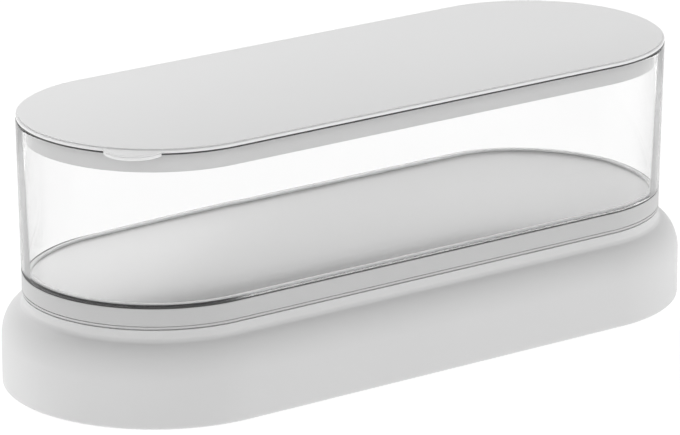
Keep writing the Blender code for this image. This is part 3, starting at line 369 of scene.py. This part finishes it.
print("finishes:", len(finishes))


# Drawing: profiles are lists of (radius, height) points and arcs.
def arc(radius, height, run, rise, start, turn, steps):
    return {"centre": (radius, height), "run": run, "rise": rise, "start": start, "turn": turn,
            "steps": steps}


def only(geometry, kind):
    return [item for item in geometry if isinstance(item, kind)]


def drawArc(shape, mark):
    # one point spun round its centre, then squeezed to the arc's run and rise
    known = set(shape.verts)
    start = math.radians(mark["start"])
    first = shape.verts.new((0, -math.cos(start), math.sin(start)))
    spun = bmesh.ops.spin(shape, geom=[first], cent=(0, 0, 0), axis=(1, 0, 0),
                          angle=-math.radians(mark["turn"]), steps=mark["steps"])
    last = only(spun["geom_last"], bmesh.types.BMVert)[0]
    verts = [vert for vert in shape.verts if vert not in known]
    bmesh.ops.scale(shape, vec=(1, mark["run"], mark["rise"]), verts=verts)
    bmesh.ops.translate(shape, vec=(0, -mark["centre"][0], mark["centre"][1]), verts=verts)
    return first, last


def drawProfile(marks, closed):
    # points and arcs of (radius, height), joined in turn
    shape = bmesh.new()
    ends = []
    for mark in marks:
        if isinstance(mark, dict):
            ends.append(drawArc(shape, mark))
        else:
            vert = shape.verts.new((0, -mark[0], mark[1]))
            ends.append((vert, vert))
    for (_, tail), (head, _) in zip(ends, ends[1:] + ends[:1] if closed else ends[1:]):
        shape.edges.new((tail, head))
    bmesh.ops.remove_doubles(shape, verts=shape.verts, dist=plan["weld"])
    return shape


def stadium(marks, span=None, closed=True, steps=None):
    # the profile goes round one end, along the side, round the other end and back
    span = plan["span"] if span is None else span
    shape = drawProfile(marks, closed)
    edges = list(shape.edges)
    bmesh.ops.translate(shape, vec=(span, 0, 0), verts=shape.verts)
    for centre in (span, -span):
        verts = list({vert for edge in edges for vert in edge.verts})
        spun = bmesh.ops.spin(shape, geom=edges + verts, cent=(centre, 0, 0), axis=(0, 0, 1),
                              angle=math.pi, steps=steps or plan["endSteps"])
        rim = only(spun["geom_last"], bmesh.types.BMEdge)
        side = bmesh.ops.extrude_edge_only(shape, edges=rim)["geom"]
        moved = set(only(side, bmesh.types.BMVert))
        bmesh.ops.translate(shape, vec=(-2 * centre, 0, 0), verts=list(moved))
        edges = [edge for edge in only(side, bmesh.types.BMEdge) if moved.issuperset(edge.verts)]
    bmesh.ops.remove_doubles(shape, verts=shape.verts, dist=plan["weld"])
    if not closed:
        rims = [edge for edge in shape.edges if edge.is_boundary]
        bmesh.ops.holes_fill(shape, edges=rims, sides=0)
    return shape


def turned(marks, steps=None):
    # a profile that starts and ends on the axis, turned about Z
    shape = drawProfile(marks, closed=False)
    bmesh.ops.spin(shape, geom=shape.edges[:] + shape.verts[:], cent=(0, 0, 0), axis=(0, 0, 1),
                   angle=math.tau, steps=steps or plan["turnSteps"], use_merge=True)
    return shape


def rod(radius, low, high):
    # points for a plain turned rod
    return [(0, low), (radius, low), (radius, high), (0, high)]


def faceRear(shape, x, z):
    # height becomes depth in from the rear side
    bmesh.ops.rotate(shape, cent=(0, 0, 0), matrix=Matrix.Rotation(math.pi / 2, 3, "X"),
                     verts=shape.verts)
    bmesh.ops.translate(shape, vec=(x, housing["wallRadius"], z), verts=shape.verts)
    return shape


def meshFrom(name, shape):
    bmesh.ops.scale(shape, vec=(mm, mm, mm), verts=shape.verts)
    bmesh.ops.remove_doubles(shape, verts=shape.verts, dist=plan["weld"] * mm)
    bmesh.ops.recalc_face_normals(shape, faces=shape.faces)
    mesh = bpy.data.meshes.new(name)
    shape.to_mesh(mesh)
    shape.free()
    return mesh


def newObject(name, shape):
    piece = bpy.data.objects.new(name, meshFrom(name, shape))
    bpy.context.scene.collection.objects.link(piece)
    return piece


def combine(piece, changes):
    # boolean each shape or piece in turn, then keep the result as the piece's own mesh
    tools = []
    for number, (operation, tool) in enumerate(changes):
        if isinstance(tool, bmesh.types.BMesh):
            tool = newObject(f"{piece.name}Tool{number}", tool)
        change = piece.modifiers.new(operation, "BOOLEAN")
        change.operation, change.solver, change.object = operation, "EXACT", tool
        tools.append(tool)
    seen = piece.evaluated_get(bpy.context.evaluated_depsgraph_get())
    mesh = bpy.data.meshes.new_from_object(seen)
    piece.modifiers.clear()
    piece.data = mesh
    for tool in tools:
        bpy.data.objects.remove(tool)


def finishPiece(piece, finish, body, slot, *replaced):
    piece.data.materials.clear()
    piece.data.materials.append(finishes[finish])
    piece.data.shade_smooth()
    piece.data.set_sharp_from_angle(angle=math.radians(plan["sharpAngle"]))
    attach(piece, body)
    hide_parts(*replaced)


controls = {
    "buttonX": 0.0, "buttonRadius": 3.2, "buttonSpan": 4.3, "z": 8.9,
    "lensX": 13.0, "lensRadius": 1.1,
    "inletX": -19.0, "inletZ": 8.83, "inletRadius": 1.63, "inletSpan": 2.84,
    "gap": 0.3, "lip": 0.2, "depth": 3.2,
}
housing = {
    "wallRadius": 39.75, "footStand": 1.0, "rimRun": 1.72, "rimRise": 1.13,
    "shoulder": (33.68, 13.7), "shoulderRun": 6.07, "shoulderRise": 8.7, "shoulderTurn": 74.87,
    "cove": (35.77, 23.404), "coveRadius": 1.4, "coveStart": 248.82,
    "neckRadius": 34.37, "neckHigh": 25.34, "neckEdge": 0.1, "innerTopZ": 20.2, "wall": 2.2,
    "bossPlace": (45.0, 33.3), "bossRadius": 3.0, "bossLow": 3.8, "bossHigh": 20.9,
    "boltRadius": 1.55, "boltHigh": 9.3, "bossSteps": 32, "boltSteps": 24,
}


def rearHole(radius, span, x, z):
    # a pill-shaped hole with a slightly flared lip
    lip, depth = controls["lip"], controls["depth"]
    marks = [(radius + 2 * lip, -lip), (radius, lip), (radius, depth)]
    shape = stadium(marks, span, False, plan["smallSteps"]) if span else turned(
        [(0, -lip), *marks, (0, depth)])
    return faceRear(shape, x, z)


def makeHousing():
    # the shell from its foot over the shoulder to the open neck, with screw bosses inside
    h, c = housing, controls
    edge = h["neckEdge"]
    shape = stadium([
        arc(h["wallRadius"] - h["rimRun"], h["footStand"] + h["rimRise"], h["rimRun"],
            h["rimRise"], -90, 90, 10),
        arc(*h["shoulder"], h["shoulderRun"], h["shoulderRise"], 0, h["shoulderTurn"], 26),
        arc(*h["cove"], h["coveRadius"], h["coveRadius"], h["coveStart"],
            180 - h["coveStart"], 10),
        arc(h["neckRadius"] - edge, h["neckHigh"] - edge, edge, edge, 0, 90, 3),
        (h["neckRadius"] - h["wall"], h["neckHigh"]),
        (h["neckRadius"] - h["wall"], h["innerTopZ"]),
        arc(*h["shoulder"], h["shoulderRun"] - h["wall"], h["shoulderRise"] - h["wall"],
            90, -90, 10),
        (h["wallRadius"] - h["wall"], h["footStand"]),
    ])
    piece = newObject("baseHousing", shape)
    changes = []
    for x in (-h["bossPlace"][0], h["bossPlace"][0]):
        for y in (-h["bossPlace"][1], h["bossPlace"][1]):
            boss = turned(rod(h["bossRadius"], h["bossLow"], h["bossHigh"]), h["bossSteps"])
            bolt = turned(rod(h["boltRadius"], h["bossLow"] - plan["overrun"], h["boltHigh"]),
                          h["boltSteps"])
            for tool in (boss, bolt):
                bmesh.ops.translate(tool, vec=(x, y, 0), verts=tool.verts)
            changes += [("UNION", boss), ("DIFFERENCE", bolt)]
    gap = c["gap"]
    changes += [
        ("DIFFERENCE", rearHole(c["buttonRadius"] + gap, c["buttonSpan"], c["buttonX"], c["z"])),
        ("DIFFERENCE", rearHole(c["lensRadius"] + gap, 0, c["lensX"], c["z"])),
        ("DIFFERENCE", rearHole(c["inletRadius"] + gap, c["inletSpan"], c["inletX"],
                                c["inletZ"])),
    ]
    combine(piece, changes)
    finishPiece(piece, "white", "base", "white_plastic", "base_housing")


makeHousing()
print("base housing")

feet = {"places": [(-68, -22), (-68, 22), (68, -22), (68, 22)], "radius": 5.0, "high": 2.0,
        "edge": 0.4, "dish": 0.25, "dishRadius": 3.2}


def makeFeet():
    # four rubber feet, dished underneath
    f = feet
    for number, (x, y) in enumerate(f["places"], start=1):
        shape = turned([
            (0, f["dish"]),
            (f["dishRadius"], f["dish"]),
            (f["dishRadius"] + f["dish"], 0),
            arc(f["radius"] - f["edge"], f["edge"], f["edge"], f["edge"], -90, 90, 5),
            (f["radius"], f["high"]),
            (0, f["high"]),
        ])
        bmesh.ops.translate(shape, vec=(x, y, 0), verts=shape.verts)
        finishPiece(newObject(f"rubberFoot{number}", shape), "footRubber", "base",
                    "foot_rubber", f"foot_{number}")


makeFeet()
print("feet")


collar = {
    "radius": 34.4, "low": 25.64, "high": 30.9, "edge": 0.12, "lineLow": 26.2,
    "lineHigh": 26.45, "lineDepth": 0.35, "shelfRadius": 32.57, "shelfHigh": 29.8,
    "shelfInner": 29.97, "shelfLow": 27.8, "spigotRadius": 31.87, "spigotInner": 30.27,
    "spigotLow": 24.14,
}
tank = {
    "footRadius": 34.47, "topRadius": 35.189, "wall": 1.9, "low": 31.2, "high": 70.6,
    "lip": 0.3, "footEdge": 0.15, "steps": 96,
}
floor = {
    "radius": 31.3455, "low": 30.8, "high": 31.3, "edge": 0.15,
    "gasketRadius": 32.25, "gasketLow": 30.1, "gasketHigh": 31.1, "gasketLeg": 0.6,
    "gasketFoot": 0.4, "gasketFootRadius": 30.17,
    "lipRadius": 34.3, "lipLow": 30.93, "lipHigh": 31.18,
    "beadRadius": 32.27, "beadWidth": 1.05, "beadFoot": 31.32, "beadLow": 31.12,
    "beadHigh": 31.75, "beadEdge": 0.2,
}


def makeCollar():
    # the ring that carries the clear wall: a fine line near its foot and a shelf for the floor;
    # it is white plastic, given a darker grey as painted shade
    c = collar
    edge = c["edge"]
    shape = stadium([
        arc(c["radius"] - edge, c["low"] + edge, edge, edge, -90, 90, 3),
        (c["radius"], c["lineLow"]),
        (c["radius"] - c["lineDepth"], c["lineLow"]),
        (c["radius"] - c["lineDepth"], c["lineHigh"]),
        (c["radius"], c["lineHigh"]),
        arc(c["radius"] - edge, c["high"] - edge, edge, edge, 0, 90, 4),
        (c["shelfRadius"], c["high"]),
        (c["shelfRadius"], c["shelfHigh"]),
        (c["shelfInner"], c["shelfHigh"]),
        (c["shelfInner"], c["shelfLow"]),
        (c["spigotInner"], c["shelfLow"]),
        (c["spigotInner"], c["spigotLow"]),
        (c["spigotRadius"], c["spigotLow"]),
        (c["spigotRadius"], c["low"]),
    ])
    finishPiece(newObject("tankCollar", shape), "collarShadedWhite", "base", "white_plastic",
                "tank_collar")


def makeTank():
    # one clear tube, a little wider at the top
    t = tank
    lip, inner = t["lip"], t["topRadius"] - t["wall"]
    shape = stadium([
        arc(t["footRadius"] - t["footEdge"], t["low"] + t["footEdge"], t["footEdge"],
            t["footEdge"], -90, 90, 3),
        arc(t["topRadius"] - lip, t["high"] - lip, lip, lip, 0, 90, 6),
        arc(inner + lip, t["high"] - lip, lip, lip, 90, 90, 6),
        arc(t["footRadius"] - t["wall"] + t["footEdge"], t["low"] + t["footEdge"],
            t["footEdge"], t["footEdge"], 180, 90, 3),
    ], steps=t["steps"])
    finishPiece(newObject("tankWall", shape), "clear", "base", "clear_plastic", "tank_wall")


def makeTankFloor():
    f = floor
    legInner, edge = f["gasketRadius"] - f["gasketLeg"], f["edge"]
    # the gasket's thin lip fills the seat under the clear wall
    gasket = stadium([
        (f["gasketFootRadius"], f["gasketLow"]),
        (f["gasketRadius"], f["gasketLow"]),
        (f["gasketRadius"], f["lipLow"]),
        (f["lipRadius"], f["lipLow"]),
        (f["lipRadius"], f["lipHigh"]),
        (f["gasketRadius"], f["lipHigh"]),
        arc(f["gasketRadius"] - edge, f["gasketHigh"] - edge, edge, edge, 0, 90, 4),
        arc(legInner + edge, f["gasketHigh"] - edge, edge, edge, 90, 90, 4),
        (legInner, f["gasketLow"] + f["gasketFoot"]),
        (f["gasketFootRadius"], f["gasketLow"] + f["gasketFoot"]),
    ])
    plate = stadium([
        arc(f["radius"] - edge, f["low"] + edge, edge, edge, -90, 90, 4),
        arc(f["radius"] - edge, f["high"] - edge, edge, edge, 0, 90, 4),
    ], closed=False)
    soft = f["beadEdge"]
    bead = stadium([
        (f["beadRadius"] - f["beadWidth"], f["beadFoot"]),
        (legInner, f["beadFoot"]),
        (legInner, f["beadLow"]),
        (f["beadRadius"], f["beadLow"]),
        (f["beadRadius"], f["beadHigh"]),
        arc(f["beadRadius"] - f["beadWidth"] + soft, f["beadHigh"] - soft, soft, soft, 90, 90, 5),
    ])
    finishPiece(newObject("floorGasket", gasket), "darkRubber", "base", "dark_rubber",
                "floor_gasket")
    finishPiece(newObject("steelFloor", plate), "floorSteel", "base", "satin_steel",
                "steel_floor")
    finishPiece(newObject("sealBead", bead), "silicone", "base", "silicone", "seal_bead")


makeCollar()
makeTank()
makeTankFloor()
print("tank")


lid = {
    "radius": 35.094, "rimLow": 71.05, "rimHigh": 71.8, "rimEdge": 0.15,
    "creaseRadius": 34.294, "panelLow": 72.0, "panelRadius": 34.544, "panelEdge": 0.1,
    "high": 72.15, "coreRadius": 32.15, "coreLow": 70.45,
    "tabDirection": 45.6, "tabReach": 32.294, "tabRadius": 7.6, "tabLow": 70.5,
    "tabHigh": 71.75, "tabEdge": 0.1, "grooveLow": 71.25, "grooveHigh": 71.6,
    "grooveDepth": 0.3, "tabSteps": 128, "tabRoomRadius": 35.484, "tabRoomHigh": 71.15,
    "tabRoomSteps": 256,
}
plug = {
    "radius": 32.89, "wall": 1.6, "low": 65.6, "edge": 0.25, "rabbetLow": 69.8, "high": 70.15,
    "webLow": 69.35, "webInner": 29.5,
}
seal = {
    "inner": 32.45, "outer": 33.05, "low": 70.1, "high": 71.03, "edge": 0.15,
    "lipRadius": 34.95, "lipLow": 70.62,
}


def makeLid():
    # the panel with its crease and rim, and the finger tab joined to it
    s = lid
    edge = s["rimEdge"]
    shape = stadium([
        (s["coreRadius"], s["coreLow"]),
        (s["coreRadius"], s["rimLow"]),
        arc(s["radius"] - edge, s["rimLow"] + edge, edge, edge, -90, 90, 5),
        arc(s["radius"] - edge, s["rimHigh"] - edge, edge, edge, 0, 90, 5),
        (s["creaseRadius"], s["rimHigh"]),
        (s["creaseRadius"], s["panelLow"]),
        (s["panelRadius"], s["panelLow"]),
        arc(s["panelRadius"] - s["panelEdge"], s["high"] - s["panelEdge"], s["panelEdge"],
            s["panelEdge"], 0, 90, 4),
    ], closed=False)
    piece = newObject("lidCover", shape)
    toward = math.radians(s["tabDirection"])
    tabX = -plan["span"] - s["tabReach"] * math.cos(toward)
    tabY = -s["tabReach"] * math.sin(toward)
    rim, soft = s["tabRadius"], s["tabEdge"]
    tab = turned([
        (0, s["tabLow"]),
        arc(rim - soft, s["tabLow"] + soft, soft, soft, -90, 90, 3),
        (rim, s["grooveLow"]),
        (rim - s["grooveDepth"], s["grooveLow"]),
        (rim - s["grooveDepth"], s["grooveHigh"]),
        (rim, s["grooveHigh"]),
        arc(rim - soft, s["tabHigh"] - soft, soft, soft, 0, 90, 3),
        (0, s["tabHigh"]),
    ], s["tabSteps"])
    bmesh.ops.translate(tab, vec=(tabX, tabY, 0), verts=tab.verts)
    tabPiece = newObject("lidTab", tab)
    room = turned(rod(s["tabRoomRadius"], s["tabLow"] - plan["overrun"], s["tabRoomHigh"]),
                  s["tabRoomSteps"])
    bmesh.ops.translate(room, vec=(-plan["span"], 0, 0), verts=room.verts)
    combine(tabPiece, [("DIFFERENCE", room)])
    combine(piece, [("UNION", tabPiece)])
    finishPiece(piece, "lidGrey", "lid", "grey_plastic", "lid_cover")


def makePlug():
    # the skirt under the lid and the flange that carries it, in the lid's grey plastic given
    # darker as painted shade inside the clear wall
    p = plug
    edge, skirt = p["edge"], p["radius"] - p["wall"]
    shape = stadium([
        arc(skirt + edge, p["low"] + edge, edge, edge, 180, 90, 4),
        arc(p["radius"] - edge, p["low"] + edge, edge, edge, -90, 90, 5),
        (p["radius"], p["rabbetLow"]),
        (lid["coreRadius"], p["rabbetLow"]),
        (lid["coreRadius"], p["high"]),
        (p["webInner"], p["high"]),
        (p["webInner"], p["webLow"]),
        (skirt, p["webLow"]),
    ])
    finishPiece(newObject("lidPlug", shape), "skirtShadedGrey", "lid", "grey_plastic", "lid_plug")


def makeSeal():
    # its thin lip fills the seam under the lid's rim; the silicone is coloured near black as
    # painted shadow for that seam
    s = seal
    shape = stadium([
        (s["inner"], s["low"]),
        arc(s["outer"] - s["edge"], s["low"] + s["edge"], s["edge"], s["edge"], -90, 90, 3),
        (s["outer"], s["lipLow"]),
        (s["lipRadius"], s["lipLow"]),
        (s["lipRadius"], s["high"]),
        (s["inner"], s["high"]),
    ])
    finishPiece(newObject("lidSeal", shape), "seamShadowSilicone", "lid", "silicone", "lid_seal")


makeLid()
makePlug()
makeSeal()
print("lid")


button = {"faceEdge": 0.35, "dish": 0.18, "dishInset": 1.0, "flange": 1.2, "flangeDepth": 2.5,
          "flangeBack": 3.5}
lens = {"collar": 1.8, "collarFront": 2.5, "collarBack": 3.3, "back": 5.2, "dome": 0.15}
inlet = {"shell": 0.3, "front": 0.5, "back": 10.5, "innerBack": 9.3, "lip": 0.1}


def makeButton():
    # a pill with a dished face and a flange behind the wall
    b, c = button, controls
    radius, edge = c["buttonRadius"], b["faceEdge"]
    shape = stadium([
        (radius - b["dishInset"], b["dish"]),
        arc(radius - edge, edge, edge, edge, -90, 90, 5),
        (radius, b["flangeDepth"]),
        (radius + b["flange"], b["flangeDepth"]),
        (radius + b["flange"], b["flangeBack"]),
    ], c["buttonSpan"], False, plan["smallSteps"])
    faceRear(shape, c["buttonX"], c["z"])
    finishPiece(newObject("powerButton", shape), "white", "button", "white_plastic",
                "power_button")


def makeLens():
    # a domed pin with a collar behind the wall
    s, c = lens, controls
    radius, dome = c["lensRadius"], s["dome"]
    shape = turned([
        (0, 0),
        arc(radius - dome, dome, dome, dome, -90, 90, 4),
        (radius, s["collarFront"]),
        (s["collar"], s["collarFront"]),
        (s["collar"], s["collarBack"]),
        (radius, s["collarBack"]),
        (radius, s["back"]),
        (0, s["back"]),
    ])
    faceRear(shape, c["lensX"], c["z"])
    finishPiece(newObject("indicatorLens", shape), "lens", "base", "light_guide",
                "indicator_lens")


def makeInlet():
    # the socket's steel shell, open to the rear
    s, c = inlet, controls
    outer, lip = c["inletRadius"], s["lip"]
    inner = outer - s["shell"]
    shape = stadium([
        (inner, s["innerBack"]),
        (inner, s["front"] + lip),
        (inner + lip, s["front"]),
        (outer - lip, s["front"]),
        (outer, s["front"] + lip),
        (outer, s["back"]),
    ], c["inletSpan"], False, plan["smallSteps"])
    faceRear(shape, c["inletX"], c["inletZ"])
    finishPiece(newObject("inletShell", shape), "socketSteel", "base", "satin_steel",
                "usb_socket")


makeButton()
makeLens()
makeInlet()
print("rear controls")


# Better finishes for the CAD nodes that keep their shape.
keptFinishes = {
    "bottom_cover": "white", "cover_screw": "screwSteel", "board_screw": "screwSteel",
    "transducer_disc": "ceramic", "transducer_lead": "insulation", "driver_board": "board",
    "filter_capacitor": "sleeve", "drive_inductor": "ferrite", "drive_transformer": "ferrite",
    "heat_sink": "aluminium", "power_transistor": "epoxy", "driver_chip": "epoxy",
    "lead_connector": "nylon", "button_switch": "epoxy", "switch_plunger": "nylon",
    "indicator_led": "nylon", "usb_tongue": "epoxy",
}
for name, node in nodes.items():
    if node.hide_render:
        continue
    kind = name.rstrip("0123456789").rstrip("_")
    for place in node.material_slots:
        place.material = finishes[keptFinishes[kind]]
print("kept nodes:", sum(not node.hide_render for node in nodes.values()))


studio = {
    "cameraPlace": (-0.7441, -0.9884, 0.4178), "cameraAim": (0.0027, 0.0073, 0.0303),
    "lens": 264.7, "sensor": 36,
    "lowLevel": 0.75, "highLevel": 0.68, "lowZ": 0.10, "highZ": 0.75,
    "frontToward": (-0.52, -0.68, 0.52), "frontDim": 0.12, "frontInner": 0.95,
    "frontOuter": 0.05,
    "floorSize": 4, "floorColour": 0.9, "floorMottle": 0.01, "floorScale": 3,
    "floorGlow": 0.87, "floorWash": 0.3, "floorLift": 0.34,
    "lamps": [
        {"name": "leftBank", "place": (-0.90, 0.12, 0.13), "size": 0.45, "power": 1.9,
         "seen": False},
        {"name": "rightBank", "place": (0.20, -0.94, 0.28), "size": 0.45, "power": 2.5,
         "seen": False},
        {"name": "backBank", "place": (0.06, 0.64, 0.78), "size": 0.5, "power": 2.3,
         "seen": True},
        {"name": "glossBank", "place": (0.42, 0.98, 0.40), "size": 0.35, "power": 0.08,
         "seen": True},
    ],
}


def lightPath(bench):
    # two signals of 0 or 1: rays from the camera, and rays from a gloss or clear plastic
    rays = [bench.node("ShaderNodeLightPath", out=name)
            for name in ("Is Camera Ray", "Is Glossy Ray", "Is Transmission Ray")]
    return rays[0], bench.node("ShaderNodeMath", {"operation": "MAXIMUM"},
                               {0: rays[1], 1: rays[2]})


def makeWorld():
    # white to look at; the light it gives is strongest low down and weakest from the front
    world = bpy.data.worlds.new("studio")
    bpy.context.scene.world = world
    world.use_nodes = True
    bench = Bench(world.node_tree)
    toward = bench.node("ShaderNodeTexCoord", out="Generated")
    upward = bench.node("ShaderNodeSeparateXYZ", {}, {"Vector": toward}, out="Z")
    front = bench.node("ShaderNodeVectorMath", {"operation": "DOT_PRODUCT"},
                       {0: toward, 1: Vector(studio["frontToward"]).normalized()}, out="Value")
    band = bench.fade(upward, studio["lowZ"], studio["highZ"], studio["lowLevel"],
                      studio["highLevel"])
    shaded = bench.fade(front, studio["frontOuter"], studio["frontInner"], 1.0,
                        studio["frontDim"])
    level = band * shaded
    camera, other = lightPath(bench)
    seen = bench.node("ShaderNodeMath", {"operation": "MAXIMUM"}, {0: camera, 1: other})
    strength = seen + (1 - seen) * level
    back = bench.node("ShaderNodeBackground", {}, {"Color": (1, 1, 1, 1), "Strength": strength})
    bench.finish(back, "ShaderNodeOutputWorld")


def makeFloor():
    # pale floor that shows as white and still takes the object's shadow
    shape = bmesh.new()
    bmesh.ops.create_grid(shape, x_segments=1, y_segments=1, size=studio["floorSize"])
    mesh = bpy.data.meshes.new("studioFloor")
    shape.to_mesh(mesh)
    shape.free()
    ground = bpy.data.objects.new("studioFloor", mesh)
    bpy.context.scene.collection.objects.link(ground)
    finish, bench = newFinish("studioFloor")
    mottle = bench.noise(bench.place(), studio["floorScale"], 2)
    tone, wash = studio["floorColour"], studio["floorWash"]
    lighter = tone + studio["floorMottle"]
    paint = bench.node("ShaderNodeAddShader", {}, {
        0: bench.node("ShaderNodeBsdfDiffuse", {}, {
            "Color": bench.between(mottle, (tone, tone, tone), (lighter, lighter, lighter))}),
        1: bench.node("ShaderNodeEmission", {}, {"Strength": studio["floorLift"]}),
    })
    thin = bench.node("ShaderNodeBsdfDiffuse", {}, {"Color": (wash, wash, wash, 1)})
    glow = bench.node("ShaderNodeEmission", {}, {"Strength": studio["floorGlow"]})
    white = bench.node("ShaderNodeEmission", {}, {"Strength": 1.0})
    seenFloor = bench.node("ShaderNodeAddShader", {}, {0: thin, 1: glow})
    camera, other = lightPath(bench)
    bench.finish(bench.blend(other, bench.blend(camera, paint, seenFloor), white))
    mesh.materials.append(finish)


def makeLamps():
    for setting in studio["lamps"]:
        lamp = bpy.data.lights.new(setting["name"], "AREA")
        lamp.shape = "DISK"
        lamp.size = setting["size"]
        lamp.energy = setting["power"]
        holder = bpy.data.objects.new(setting["name"], lamp)
        bpy.context.scene.collection.objects.link(holder)
        holder.location = setting["place"]
        away = Vector(setting["place"]) - Vector(studio["cameraAim"])
        holder.rotation_euler = away.to_track_quat("Z", "Y").to_euler()
        holder.visible_camera = False
        holder.visible_glossy = setting["seen"]
        holder.visible_transmission = setting["seen"]


def makeCamera():
    data = bpy.data.cameras.new("camera")
    data.lens = studio["lens"]
    data.sensor_width = studio["sensor"]
    camera = bpy.data.objects.new("camera", data)
    bpy.context.scene.collection.objects.link(camera)
    camera.location = studio["cameraPlace"]
    away = Vector(studio["cameraPlace"]) - Vector(studio["cameraAim"])
    camera.rotation_euler = away.to_track_quat("Z", "Y").to_euler()
    bpy.context.scene.camera = camera


makeWorld()
makeFloor()
makeLamps()
makeCamera()
bpy.context.scene.view_settings.view_transform = "Standard"
print("studio")
